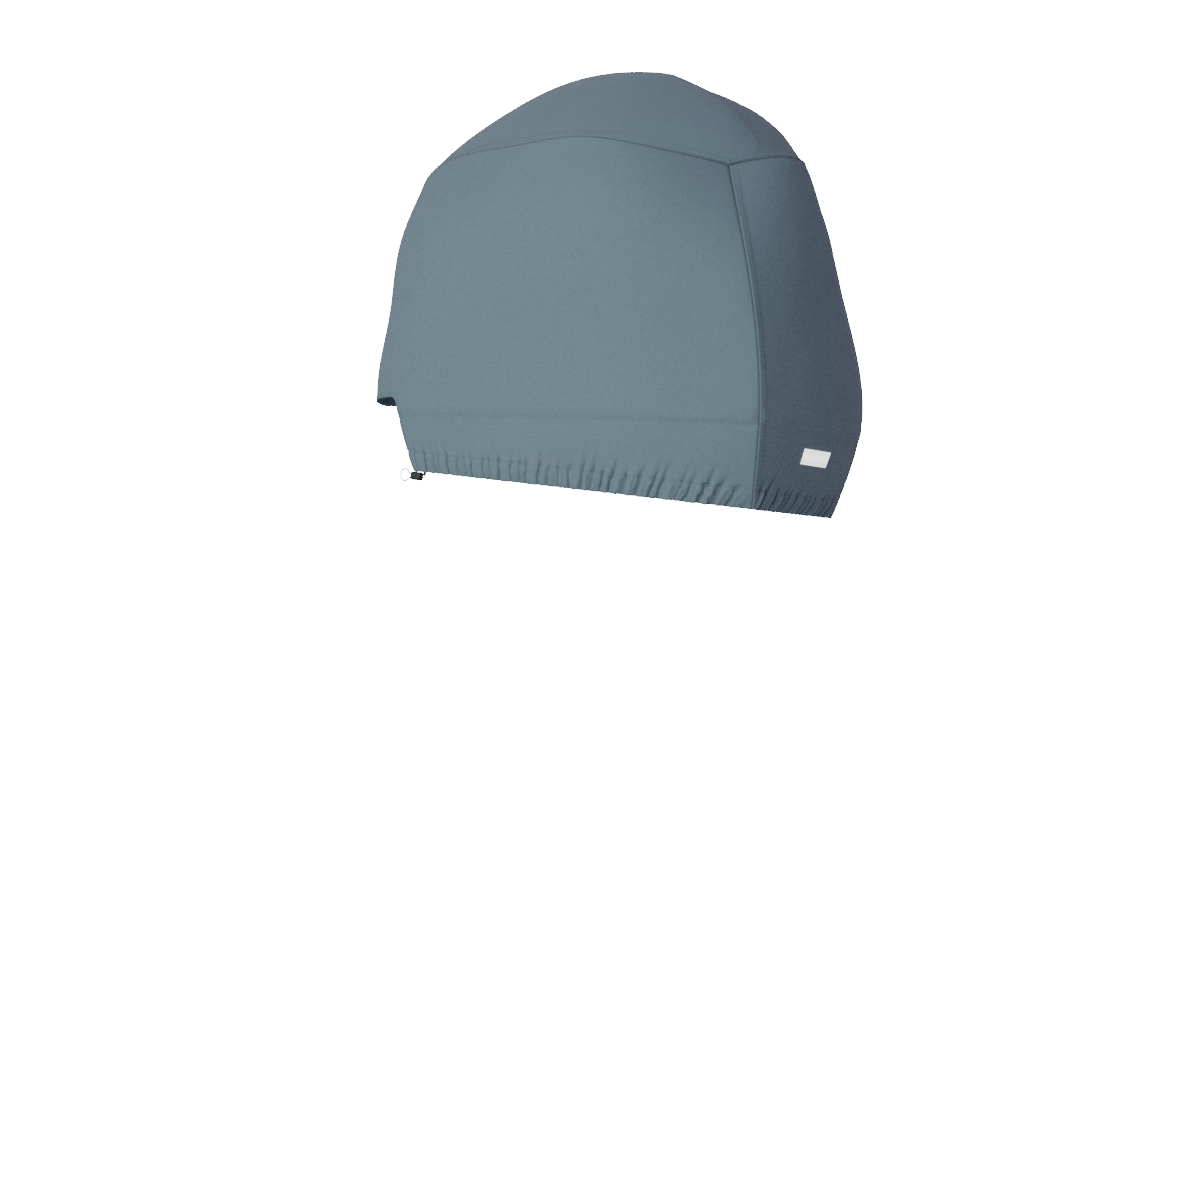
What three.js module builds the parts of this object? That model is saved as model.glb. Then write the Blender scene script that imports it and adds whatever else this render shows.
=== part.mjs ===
// Fitted storm cover of woven canvas for the cowl of a large outboard motor, as it hangs on the cowl.
// It is hollow and open below: two side panels that wrap the front corners, a domed top, a rear and a
// short front, each a sheet of cloth. The sides and rear end in a casing gathered by a drawcord.
// Millimetres. In the cowl's own frame x runs aft, y to starboard, z up from the lower edge of the hem.

import * as THREE from 'three';

// Cloth and seams
const SHEET = 2;
const SEAM_GAP = 0.3;
const TRIM = THREE.MathUtils.degToRad(7.5); // the cowl leans aft, so the hem falls towards the rear

// Walls: sizes at five levels, v being the share of the way from the hem up to the shoulder seam
const LEVELS = [
  { v: 0.0, front: -340, half: 265, seamX: 358, seamHalf: 155, rear: 362 }, // hem, drawn in
  { v: 0.18, front: -377, half: 288, seamX: 373, seamHalf: 194, rear: 400 }, // tuck
  { v: 0.55, front: -381, half: 285, seamX: 336, seamHalf: 191, rear: 366 }, // belly
  { v: 0.82, front: -373, half: 281, seamX: 278, seamHalf: 165, rear: 332 }, // upper wall
  { v: 1.0, front: -359, half: 252, seamX: 226, seamHalf: 127, rear: 291 }, // shoulder seam
];
const TUCK_V = 0.18; // below the tuck the cloth turns in under the cowl
const TUCK_HEIGHT = { front: 79, rear: 137 };
const WIDEST_X = -40;
const CORNER_POWER = 5; // superellipse that rounds the front corners
const TAPER_POWER = 2.3; // how the sides draw in behind the widest station
const REAR_CROWN_POWER = 2.2;
const FRONT_SEAM = 0.62; // the front seams stand at this share of the half width

// Top: height of the shoulder seam and of the crown line, s running from the front to the rear corner
const TOP_LINES = [
  { s: 0.0, shoulder: 445, crown: 498 },
  { s: 0.2, shoulder: 533, crown: 643 },
  { s: 0.4, shoulder: 564, crown: 723 },
  { s: 0.6, shoulder: 586, crown: 734 },
  { s: 0.8, shoulder: 579, crown: 699 },
  { s: 1.0, shoulder: 567, crown: 605 },
];
const DOME_POWER = 2.2;
// Slope above the rear panel: curved over the straightAt share of its length, straight further up
const HIP = { rise: 120, length: 226, power: 1.9, straightAt: 0.75, arch: 32, softness: 8 };

// Cut-out at the front for the steering gear
const CUT_V = 0.2456;
const CUT_SHARE = 0.18; // share of the side panel's length in front of the cut-out's edge

// Gathered casing
const CASING_HEIGHT = 32;
const CASING_SWELL = 2.2;
const PLEAT_FADE = 22; // height over which the pleats die out above the casing
const SIDE_PLEATS = { count: 33, depth: 3.0, crowding: 0.2, lean: 0.28 };
const REAR_PLEATS = { count: 12, depth: 3.4, crowding: 0, lean: 0.34 };
const UNEVEN = { share: 0.28, quick: 2.4, slow: 0.9, start: 1.1 }; // how pleats differ in depth
const PLEAT_END = 1 / 12; // share of a panel over which its pleats die out at each end

// Grid: cells of each panel, and fine columns for each cell in the casing
const CORNER_CELLS = 5;
const SIDE_CELLS = 22;
const ACROSS_CELLS = 16;
const SIDE_FINE = (SIDE_PLEATS.count * 4) / SIDE_CELLS;
const REAR_FINE = (REAR_PLEATS.count * 4) / ACROSS_CELLS;
const CASING_ROWS = [0, CASING_HEIGHT / 2, CASING_HEIGHT];
const WALL_ROWS = [CUT_V, 0.33, 0.42, 0.52, 0.62, 0.72, 0.81, 0.89, 0.95, 1];

// Label on the rear panel
const LABEL = { width: 101, height: 26, acrossAt: -11, heightAt: 98, thickness: 1 };
const LABEL_CELLS = { across: 10, up: 3 };

// Drawcord with its lock at the front end of the port hem
const CORD_DIAMETER = 3;
const STRAND_SPREAD = 4;
const LOCK = { share: 0.187, length: 19, width: 13, height: 15, corner: 4, hole: 3.8 };
const LOOP = [
  { ahead: 4, rise: 3.2 },
  { ahead: 8, rise: 6.8 },
  { ahead: 12, rise: 9.6 },
  { ahead: 16, rise: 10.4 },
  { ahead: 20, rise: 8.6 },
  { ahead: 23, rise: 4.6 },
];
const LOOP_LENGTH = 24;
const STRAND_REACH = { upper: 5, lower: 8 }; // how far behind the lock each strand turns up
const TURN_UP = [ // shares of that reach and of the way up to the casing
  { reach: 0.75, rise: 0.25 },
  { reach: 1, rise: 0.62 },
  { reach: 1, rise: 1 },
];
const CORD_CELLS = { along: 44, round: 8 };

// Where along the crown line the cowl carries the cover
const SEAT_SHARE = 0.46;

const CANVAS = { color: 0x74898f, roughness: 0.85, metalness: 0 };
const CANVAS_SHADE = { color: 0x6f848b, roughness: 0.85, metalness: 0 };
const WOVEN_WHITE = { color: 0xe8e8e4, roughness: 0.7, metalness: 0 };
const BLACK_CORD = { color: 0x17191b, roughness: 0.8, metalness: 0 };
const BLACK_PLASTIC = { color: 0x121315, roughness: 0.45, metalness: 0 };

// Natural cubic spline through (knots, values), as a function of one number
function spline(knots, values) {
  const n = knots.length;
  const bend = new Array(n).fill(0);
  const gain = new Array(n).fill(0);
  for (let i = 1; i < n - 1; i++) {
    const before = knots[i] - knots[i - 1];
    const after = knots[i + 1] - knots[i];
    const pull = 6 * ((values[i + 1] - values[i]) / after - (values[i] - values[i - 1]) / before);
    const pivot = 2 * (before + after) - before * gain[i - 1];
    gain[i] = after / pivot;
    bend[i] = (pull - before * bend[i - 1]) / pivot;
  }
  for (let i = n - 2; i > 0; i--) bend[i] -= gain[i] * bend[i + 1];
  return (t) => {
    let i = 0;
    while (i < n - 2 && t > knots[i + 1]) i++;
    const h = knots[i + 1] - knots[i];
    const b = (t - knots[i]) / h;
    const a = 1 - b;
    const curve = ((a ** 3 - a) * bend[i] + (b ** 3 - b) * bend[i + 1]) * (h * h) / 6;
    return a * values[i] + b * values[i + 1] + curve;
  };
}

const column = (table, key, name) => spline(table.map((r) => r[key]), table.map((r) => r[name]));
const front = column(LEVELS, 'v', 'front');
const half = column(LEVELS, 'v', 'half');
const seamX = column(LEVELS, 'v', 'seamX');
const seamHalf = column(LEVELS, 'v', 'seamHalf');
const rear = column(LEVELS, 'v', 'rear');
const shoulderLine = column(TOP_LINES, 's', 'shoulder');
const crownLine = column(TOP_LINES, 's', 'crown');

// Plan of one level from the front seam round the corner to the rear seam, at share s of its length
const planCache = new Map();
function sidePlan(v, s) {
  if (!planCache.has(v)) planCache.set(v, measuredPlan(v));
  const { points, along } = planCache.get(v);
  const target = s * along[along.length - 1];
  let i = 0;
  while (i < along.length - 2 && along[i + 1] < target) i++;
  const t = (target - along[i]) / (along[i + 1] - along[i]);
  return points[i].clone().lerp(points[i + 1], t);
}

// The same plan as close points with the length run up to each
function measuredPlan(v) {
  const reach = WIDEST_X - front(v);
  const points = [];
  const startAngle = Math.asin(FRONT_SEAM ** (CORNER_POWER / 2));
  const steps = 120;
  for (let i = 0; i <= steps; i++) {
    const angle = startAngle + (Math.PI / 2 - startAngle) * (i / steps);
    const x = WIDEST_X - reach * Math.cos(angle) ** (2 / CORNER_POWER);
    points.push(new THREE.Vector2(x, half(v) * Math.sin(angle) ** (2 / CORNER_POWER)));
  }
  for (let i = 1; i <= steps; i++) {
    const t = i / steps;
    const x = WIDEST_X + (seamX(v) - WIDEST_X) * t;
    points.push(new THREE.Vector2(x, half(v) - (half(v) - seamHalf(v)) * t ** TAPER_POWER));
  }
  const along = [0];
  for (let i = 1; i < points.length; i++) along.push(along[i - 1] + points[i].distanceTo(points[i - 1]));
  return { points, along };
}

// Plan of the rear and front panels, j running from -1 at the port seam to 1 at the starboard seam
function rearPlan(v, j) {
  const x = seamX(v) + (rear(v) - seamX(v)) * (1 - Math.abs(j) ** REAR_CROWN_POWER);
  return new THREE.Vector2(x, seamHalf(v) * j);
}
function frontPlan(v, j) {
  const share = FRONT_SEAM * Math.abs(j);
  const x = WIDEST_X - (WIDEST_X - front(v)) * (1 - share ** CORNER_POWER) ** (1 / CORNER_POWER);
  return new THREE.Vector2(x, FRONT_SEAM * half(v) * j);
}

// Rise of the rear slope at a distance ahead of the rear seam
function hipClimb(ahead) {
  const { rise, length, power, straightAt } = HIP;
  const curved = Math.min(ahead / length, straightAt);
  const tangent = (rise * power * (1 - straightAt) ** (power - 1)) / length;
  return rise * (1 - (1 - curved) ** power) + tangent * Math.max(0, ahead - straightAt * length);
}

// Domed top: a long roof that is arched across, cut by the slope above the rear panel, edge softened
function topPoint(s, j) {
  const edge = sidePlan(1, s);
  const x = edge.x + (1 - s) * (frontPlan(1, j).x - frontPlan(1, 1).x)
    + s * (rearPlan(1, j).x - rearPlan(1, 1).x);
  const across = Math.abs(j);
  const roof = crownLine(s) - (crownLine(s) - shoulderLine(s)) * across ** DOME_POWER;
  const seamHeight = shoulderLine(1) + HIP.arch * (1 - across ** REAR_CROWN_POWER);
  const slope = seamHeight + hipClimb(Math.max(0, rearPlan(1, j).x - x));
  const z = (roof + slope) / 2 - Math.hypot(roof - slope, 2 * HIP.softness) / 2;
  return new THREE.Vector3(x, edge.y * j, z);
}

// Height of the tuck at share s of a side panel
const tuckAt = (s) => TUCK_HEIGHT.front + (TUCK_HEIGHT.rear - TUCK_HEIGHT.front) * s;

// Height of a wall at level v, where its tuck and its top seam have the given heights
function wallHeight(v, tuck, seamHeight) {
  if (v < TUCK_V) return (tuck * v) / TUCK_V;
  return tuck + ((seamHeight - tuck) * (v - TUCK_V)) / (1 - TUCK_V);
}

// Outward push of the gathers: a wave along the hem whose folds lean aft, fading out above the casing,
// plus the swell of the casing itself. It is nil at both ends of a panel.
function gather(pleats, t, height) {
  const above = Math.max(0, height - CASING_HEIGHT) / PLEAT_FADE;
  const fade = (1 - above) ** 2 * Math.min(1, Math.min(t, 1 - t) / PLEAT_END);
  const turn = pleats.count * t - pleats.lean * (height / CASING_HEIGHT);
  const wobble = Math.sin(UNEVEN.quick * turn + UNEVEN.start) * Math.cos(UNEVEN.slow * turn);
  const uneven = 1 - UNEVEN.share + UNEVEN.share * wobble;
  const swell = CASING_SWELL * Math.max(0, Math.sin((Math.PI * height) / CASING_HEIGHT));
  return fade * pleats.depth * uneven * Math.sin(2 * Math.PI * turn) + (height < CASING_HEIGHT ? swell : 0);
}

// Share of the hem's length at which the given share of its pleats has passed
function crowded(pleats, t) {
  const c = pleats.crowding;
  return c ? (1 + c - Math.sqrt((1 + c) ** 2 - 4 * c * t)) / (2 * c) : t;
}

// Smooth surfaces of the panels, both shares running from 0 to 1. On a side, a runs from the front seam
// to the rear seam. On the others, a or across runs from port to starboard.
function sideSurface(side) {
  return (a, v) => {
    const plan = sidePlan(v, a);
    return new THREE.Vector3(plan.x, side * plan.y, wallHeight(v, tuckAt(a), topPoint(a, side).z));
  };
}
function endSurface(planOf, s) {
  return (across, v) => {
    const j = 2 * across - 1;
    const plan = planOf(v, j);
    return new THREE.Vector3(plan.x, plan.y, wallHeight(v, tuckAt(s), topPoint(s, j).z));
  };
}
const surfaces = {
  port: sideSurface(-1),
  starboard: sideSurface(1),
  rear: endSurface(rearPlan, 1),
  front: endSurface(frontPlan, 0),
  top: (a, across) => topPoint(a, 2 * across - 1),
};

// Unit normal of a surface at two shares, pointing away from the middle of the cover
const MIDDLE = new THREE.Vector3(0, 0, 250);
function normalOf(surface, a, b) {
  const step = 1e-3;
  const [a0, a1] = [Math.max(0, a - step), Math.min(1, a + step)];
  const [b0, b1] = [Math.max(0, b - step), Math.min(1, b + step)];
  const alongA = surface(a1, b).sub(surface(a0, b));
  const alongB = surface(a, b1).sub(surface(a, b0));
  const normal = alongA.cross(alongB).normalize();
  return normal.dot(surface(a, b).sub(MIDDLE)) < 0 ? normal.negate() : normal;
}

// A vertex on a panel, pushed out by the given length. Each one adds its panel's normal to the seam's,
// so neighbours share one normal along a seam.
const seamNormals = new Map();
const keyOf = (p) => [p.x, p.y, p.z].map((c) => Math.round(c * 100)).join();
function vertexOf(panel, a, b, push = 0) {
  const normal = normalOf(surfaces[panel], a, b);
  const place = surfaces[panel](a, b).addScaledVector(normal, push);
  const key = keyOf(place);
  if (!seamNormals.has(key)) seamNormals.set(key, new Map());
  seamNormals.get(key).set(panel, normal);
  return { place, key };
}

const even = (n, from = 0, to = 1) => Array.from({ length: n + 1 }, (_, i) => from + ((to - from) * i) / n);
const hemShare = (t) => CUT_SHARE + (1 - CUT_SHARE) * crowded(SIDE_PLEATS, t);
const cornerShares = even(CORNER_CELLS, 0, CUT_SHARE).slice(0, -1);
const sideShares = [...cornerShares, ...even(SIDE_CELLS).map(hemShare)];

// Levels between the casing and the cut-out, over a tuck of the given height
function lowerLevels(tuck) {
  const fadeEnd = ((CASING_HEIGHT + PLEAT_FADE) / tuck) * TUCK_V;
  return [fadeEnd, (fadeEnd + TUCK_V) / 2, TUCK_V];
}

// Rows of vertices from the hem up. Each starts at the given coarse column and reaches the panel's end.
function hemmedRows(panel, pleats, cells, fine, first, shareOf, tuckOf) {
  const casing = CASING_ROWS.map((height) => ({
    first,
    points: even(cells * fine).map((t) => {
      const share = shareOf(t);
      const level = (height / tuckOf(share)) * TUCK_V;
      return vertexOf(panel, share, level, gather(pleats, t, height));
    }),
  }));
  const shares = even(cells).map(shareOf);
  const lower = [0, 1, 2].map((row) => ({
    first,
    points: shares.map((share) => vertexOf(panel, share, lowerLevels(tuckOf(share))[row])),
  }));
  return [...casing, ...lower];
}

const wallRows = (panel, shares) => WALL_ROWS.map((v) => ({
  first: 0,
  points: shares.map((share) => vertexOf(panel, share, v)),
}));

const sideRows = (panel) => [
  ...hemmedRows(panel, SIDE_PLEATS, SIDE_CELLS, SIDE_FINE, CORNER_CELLS, hemShare, tuckAt),
  ...wallRows(panel, sideShares),
];
const rearRows = () => [
  ...hemmedRows('rear', REAR_PLEATS, ACROSS_CELLS, REAR_FINE, 0, (t) => t, () => tuckAt(1)),
  ...wallRows('rear', even(ACROSS_CELLS)),
];
const frontRows = () => wallRows('front', even(ACROSS_CELLS));
const topRows = () => even(ACROSS_CELLS).map((across) => ({
  first: 0,
  points: sideShares.map((s) => vertexOf('top', s, across)),
}));

// Triangles of a sheet from its rows. Where a row is finer than the next, its columns fan into the cell.
function sheetOf(rows) {
  const vertices = rows.flatMap((row) => row.points);
  const starts = [];
  rows.reduce((sum, row) => { starts.push(sum); return sum + row.points.length; }, 0);
  const triangles = [];
  for (let r = 0; r < rows.length - 1; r++) {
    const [low, high] = [rows[r], rows[r + 1]];
    const skip = low.first - high.first;
    const cells = high.points.length - 1 - skip;
    const fan = (low.points.length - 1) / cells;
    for (let c = 0; c < cells; c++) {
      const foot = starts[r] + c * fan;
      const head = starts[r + 1] + skip + c;
      const turn = Math.ceil(fan / 2);
      for (let k = 0; k < fan; k++) {
        triangles.push([foot + k, foot + k + 1, k < turn ? head : head + 1]);
      }
      triangles.push([head, foot + turn, head + 1]);
    }
  }
  return { vertices, triangles };
}

// Directed edges that belong to one triangle only, as a map from each vertex to the next
function rimOf(triangles) {
  const edges = new Set();
  for (const [a, b, c] of triangles) [[a, b], [b, c], [c, a]].forEach((e) => edges.add(e.join()));
  return [...edges].map((e) => e.split(',').map(Number)).filter(([a, b]) => !edges.has([b, a].join()));
}

// Closed solid of a sheet: its outer face, the same face one thickness further in, and a wall along the
// rim. Rim vertices on a seam step back from it by half the gap, square to the mitre of the seam.
function shellOf({ vertices, triangles }, outwardIsLeft) {
  const faces = outwardIsLeft ? triangles : triangles.map(([a, b, c]) => [a, c, b]);
  const rim = rimOf(faces);
  const onSeam = (i) => seamNormals.get(vertices[i].key).size > 1;
  const outer = vertices.map((v) => v.place.clone());
  const stepBack = vertices.map(() => new THREE.Vector3());
  const mitre = vertices.map((v) => {
    const sum = [...seamNormals.get(v.key).values()].reduce((t, n) => t.add(n), new THREE.Vector3());
    return sum.divideScalar(seamNormals.get(v.key).size);
  });
  for (const [a, b] of rim) {
    if (!onSeam(a) || !onSeam(b)) continue;
    const along = outer[b].clone().sub(outer[a]);
    for (const i of [a, b]) {
      const inward = mitre[i].clone().cross(along).normalize();
      if (stepBack[i].dot(inward) < 0.9 * (SEAM_GAP / 2)) stepBack[i].addScaledVector(inward, SEAM_GAP / 2);
    }
  }
  const inner = outer.map((p, i) => (
    p.clone().addScaledVector(mitre[i], -SHEET / mitre[i].lengthSq()).add(stepBack[i])));
  outer.forEach((p, i) => p.add(stepBack[i]));
  const shift = vertices.length;
  const closed = [...faces, ...faces.map(([a, b, c]) => [a + shift, c + shift, b + shift])];
  for (const [a, b] of rim) closed.push([b, a, a + shift], [b, a + shift, b + shift]);
  return solidOf([...outer, ...inner], closed);
}

function solidOf(points, faces) {
  const geometry = new THREE.BufferGeometry();
  geometry.setAttribute('position', new THREE.Float32BufferAttribute(points.flatMap((p) => p.toArray()), 3));
  geometry.setIndex(faces.flat());
  return geometry;
}

// Label: a thin plate that follows the rear panel one seam gap outside it
function labelGeometry() {
  const cells = LABEL_CELLS;
  const halfWidth = seamHalf(TUCK_V);
  const rows = even(cells.up, -0.5, 0.5).map((up) => even(cells.across, -0.5, 0.5).map((across) => {
    const share = 0.5 + (LABEL.acrossAt + across * LABEL.width) / (2 * halfWidth);
    const level = ((LABEL.heightAt + up * LABEL.height) / tuckAt(1)) * TUCK_V;
    const normal = normalOf(surfaces.rear, share, level);
    return { place: surfaces.rear(share, level), normal };
  }));
  const grid = rows.flat();
  const face = (lift) => grid.map((v) => v.place.clone().addScaledVector(v.normal, lift));
  const row = cells.across + 1;
  const faces = [];
  for (let r = 0; r < cells.up; r++) {
    for (let c = 0; c < cells.across; c++) {
      const i = r * row + c;
      faces.push([i, i + 1, i + row + 1], [i, i + row + 1, i + row]);
    }
  }
  const shift = grid.length;
  const closed = [...faces, ...faces.map(([a, b, c]) => [a + shift, c + shift, b + shift])];
  for (const [a, b] of rimOf(faces)) closed.push([b, a, a + shift], [b, a + shift, b + shift]);
  return solidOf([...face(SEAM_GAP + LABEL.thickness), ...face(SEAM_GAP)], closed);
}

// Middle of the lock, which hangs just under the port hem by the cut-out
function cordPlace() {
  const hem = surfaces.port(LOCK.share, 0);
  return new THREE.Vector3(hem.x, hem.y + SHEET, -LOCK.height / 2 - SEAM_GAP);
}

// One cord: out of the hem, forward through the lock, round the loop and back the same way
function cordPath() {
  const spread = STRAND_SPREAD / 2;
  const back = LOCK.length / 2;
  const centre = cordPlace();
  const top = -centre.z - SEAM_GAP;
  const strand = (side) => {
    const level = side * spread;
    const reachAft = side > 0 ? STRAND_REACH.upper : STRAND_REACH.lower;
    const loop = LOOP.map(({ ahead, rise }) => [-back - ahead, side * rise]).reverse();
    const turnUp = TURN_UP.map(({ reach, rise }) => [back + reach * reachAft, level + rise * (top - level)]);
    return [...loop, [-back, level], [0, level], [back, level], ...turnUp];
  };
  const route = [...strand(1).reverse(), [-back - LOOP_LENGTH, 0], ...strand(-1)];
  return new THREE.CatmullRomCurve3(route.map(([x, z]) => (
    new THREE.Vector3(centre.x + x, centre.y, centre.z + z))));
}

function roundSection(radius, sides) {
  const corners = even(sides).slice(0, -1).map((t) => (
    new THREE.Vector2(radius * Math.cos(2 * Math.PI * t), radius * Math.sin(2 * Math.PI * t))));
  return new THREE.Shape(corners);
}

function cordGeometry() {
  const options = { steps: CORD_CELLS.along, bevelEnabled: false, extrudePath: cordPath() };
  return new THREE.ExtrudeGeometry(roundSection(CORD_DIAMETER / 2, CORD_CELLS.round), options);
}

// Barrel lock: a rounded block with one oval hole for both strands
function lockGeometry() {
  const { width, height, corner, hole, length } = LOCK;
  const shape = new THREE.Shape();
  const [w, h] = [width / 2 - corner, height / 2 - corner];
  shape.absarc(w, h, corner, 0, Math.PI / 2);
  shape.absarc(-w, h, corner, Math.PI / 2, Math.PI);
  shape.absarc(-w, -h, corner, Math.PI, 1.5 * Math.PI);
  shape.absarc(w, -h, corner, 1.5 * Math.PI, 2 * Math.PI);
  const slot = new THREE.Path();
  slot.absarc(0, STRAND_SPREAD / 2, hole / 2, 0, Math.PI);
  slot.absarc(0, -STRAND_SPREAD / 2, hole / 2, Math.PI, 2 * Math.PI);
  shape.holes.push(slot);
  const options = { depth: length, bevelEnabled: false, curveSegments: 5 };
  const geometry = new THREE.ExtrudeGeometry(shape, options);
  geometry.translate(0, 0, -length / 2);
  geometry.rotateY(Math.PI / 2);
  geometry.rotateX(Math.PI / 2);
  return geometry;
}

// The rows are all made first, because the seams' shared normals need every panel
const rowsOf = {
  port_side_panel: sideRows('port'),
  starboard_side_panel: sideRows('starboard'),
  rear_panel: rearRows(),
  front_panel: frontRows(),
  top_panel: topRows(),
};
const outwardIsLeft = {
  port_side_panel: true,
  starboard_side_panel: false,
  rear_panel: true,
  front_panel: false,
  top_panel: true,
};

const cover = new THREE.Group();
function add(name, geometry, finish) {
  const mesh = new THREE.Mesh(geometry, new THREE.MeshStandardMaterial(finish));
  mesh.name = name;
  cover.add(mesh);
  return mesh;
}

for (const [name, rows] of Object.entries(rowsOf)) {
  const finish = name === 'top_panel' ? CANVAS_SHADE : CANVAS;
  add(name, shellOf(sheetOf(rows), outwardIsLeft[name]), finish);
}
add('label', labelGeometry(), WOVEN_WHITE);
add('drawcord', cordGeometry(), BLACK_CORD);
add('cord_lock', lockGeometry(), BLACK_PLASTIC).position.copy(cordPlace());

// The origin is the seat, just inside the crown
const seat = topPoint(SEAT_SHARE, 0).sub(new THREE.Vector3(0, 0, SHEET));
cover.children.forEach((mesh) => mesh.position.sub(seat));
const hung = new THREE.Group();
hung.rotation.y = TRIM;
hung.add(cover);

export default hung;
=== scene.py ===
"""Fitted canvas cover for the cowl of a large outboard motor, drawn over its cowl and gathered below.

The cover hangs as it does on the cowl: two side panels that wrap the front corners, a domed top, a rear
and a short front, sewn with felled seams. The hem is a casing gathered by a drawcord with a barrel lock.
The sizes below are in millimetres, in the cowl's own frame: x runs aft, y to starboard, z up from the hem.
"""

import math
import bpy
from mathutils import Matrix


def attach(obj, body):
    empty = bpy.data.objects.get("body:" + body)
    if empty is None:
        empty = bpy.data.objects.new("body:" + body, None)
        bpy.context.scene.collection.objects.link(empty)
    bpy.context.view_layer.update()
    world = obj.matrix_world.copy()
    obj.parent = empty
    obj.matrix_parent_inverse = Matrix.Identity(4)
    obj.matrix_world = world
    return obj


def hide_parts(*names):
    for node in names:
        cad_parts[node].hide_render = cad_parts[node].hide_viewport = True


bl_info = {
    "name": "Fitted motor cover",
    "version": (1, 0, 0),
    "blender": (4, 5, 0),
    "location": "View3D > Sidebar > Motor cover",
    "description": "Builds a fitted canvas cover with its seams, gathers, label and drawcord",
    "category": "Add Mesh",
}

import bpy
import numpy as np
from bpy.props import FloatProperty, FloatVectorProperty, PointerProperty
from mathutils import Vector

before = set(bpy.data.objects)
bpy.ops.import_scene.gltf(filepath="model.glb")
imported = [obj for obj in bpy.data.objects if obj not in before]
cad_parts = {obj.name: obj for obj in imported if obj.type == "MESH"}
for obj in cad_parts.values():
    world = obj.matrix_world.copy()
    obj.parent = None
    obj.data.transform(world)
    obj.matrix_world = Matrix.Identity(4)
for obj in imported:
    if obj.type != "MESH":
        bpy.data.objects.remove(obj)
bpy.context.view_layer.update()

MM = 0.001

# Walls: v, front x, half width, rear seam x, rear seam half width, rear x
LEVELS = np.array([
    [0.00, -340, 265, 358, 155, 362],
    [0.18, -377, 288, 373, 194, 400],
    [0.55, -381, 285, 336, 191, 366],
    [0.82, -373, 281, 278, 165, 332],
    [1.00, -359, 252, 226, 127, 291],
])
TUCK_V = 0.18
TUCK_HEIGHT = (79.0, 137.0)  # at the front and at the rear
WIDEST_X = -40.0
CORNER_POWER = 5.0
TAPER_POWER = 2.3
REAR_CROWN_POWER = 2.2
FRONT_SEAM = 0.62

# Top: share of the side, shoulder seam height, crown height
TOP_LINES = np.array([
    [0.0, 445, 498],
    [0.2, 533, 643],
    [0.4, 564, 723],
    [0.6, 586, 734],
    [0.8, 579, 699],
    [1.0, 567, 605],
])
DOME_POWER = 2.2
HIP_RISE, HIP_LENGTH, HIP_POWER = 120.0, 226.0, 1.9
HIP_STRAIGHT, HIP_ARCH, HIP_SOFTNESS = 0.75, 32.0, 2.0

# Cut-out at the front, casing and gathers
CUT_V = 0.2456
CUT_SHARE = 0.18
CASING_HEIGHT = 32.0
SIDE_PLEATS, SIDE_CROWDING, SIDE_LEAN = 33, 0.2, 0.25
REAR_PLEATS, REAR_LEAN = 13, 0.75

# Place of the frame's origin on the crown, and the trim of the hung cover
SEAT_SHARE = 0.46
SHEET = 2.0
TRIM = math.radians(7.5)

# Relief of the cloth
CELL = 1e-3  # half of the chords that give a surface's normal and scale, in shares
SEAM_REST = 14.0  # over this distance from a seam the slack and the gathers come in
MITRE_REACH = 6.0  # over this distance the push turns from the seam's mitre to the panel's normal
SEAM_SHADE_AND_RUB_REACH = 5.0  # over this distance from a seam its nearness falls to 1/e; the nearness paints shade into the seams' grooves and rubs the seams lighter
FELLED_STEP, FELLED_RISE, FELLED_FALL = 0.8, 2.5, 1.6  # height of a felled seam, widths of its two slopes
GROOVE_DEPTH, GROOVE_WIDTH = 1.7, 2.8
CUT_RADIUS = 18.0
HEM_BAND, HEM_STEP, HEM_FALL = 9.0, 0.7, 1.5  # width, height and slope of the cut-out's turned edge
SEAM_ROW = 4.5  # from a felled seam's edge to its first row of stitches
THREAD_INSET = 2.5  # from the edge of a band of cloth to the row of stitches beside it
TUCK_RIDGE, TUCK_RIDGE_UP, TUCK_RIDGE_WIDTH = 2.6, 14, 13  # the soft fold where the cloth turns in under
TUCK_CREASE, TUCK_CREASE_WIDTH = 1.3, 6
RIDGE_SWELL, RIDGE_DROP = 2.2, 9.0
RIDGE_RISE, RIDGE_BREAK, RIDGE_FADE = 25.0, 7.0, 60.0
FOLD_POWER, FOLD_MEAN = 0.75, 0.64
FOLD_REACH, CHANCE_REACH = 5.0, 17.0  # of a gather above the casing: the least, and what chance may add
CASING_SWELL, STITCH_DENT, STITCH_DENT_WIDTH = 2.0, 1.2, 1.7
UNEVEN_VALUES = 64

# Grids of the cloth
SIDE_COLUMNS, CORNER_COLUMNS, REAR_COLUMNS, FRONT_COLUMNS = 322, 34, 170, 70
TOP_COLUMNS, TOP_ROWS, WALL_ROWS = 250, 110, 62
EDGE_STEPS = np.array([0.0, 0.6, 1.2, 2.0, 3.0, 4.5, 7.0])  # distances from a seam where the rows crowd
WALL_STEP = 1 / 480  # share of the level for one millimetre of the wall above the tuck

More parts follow.
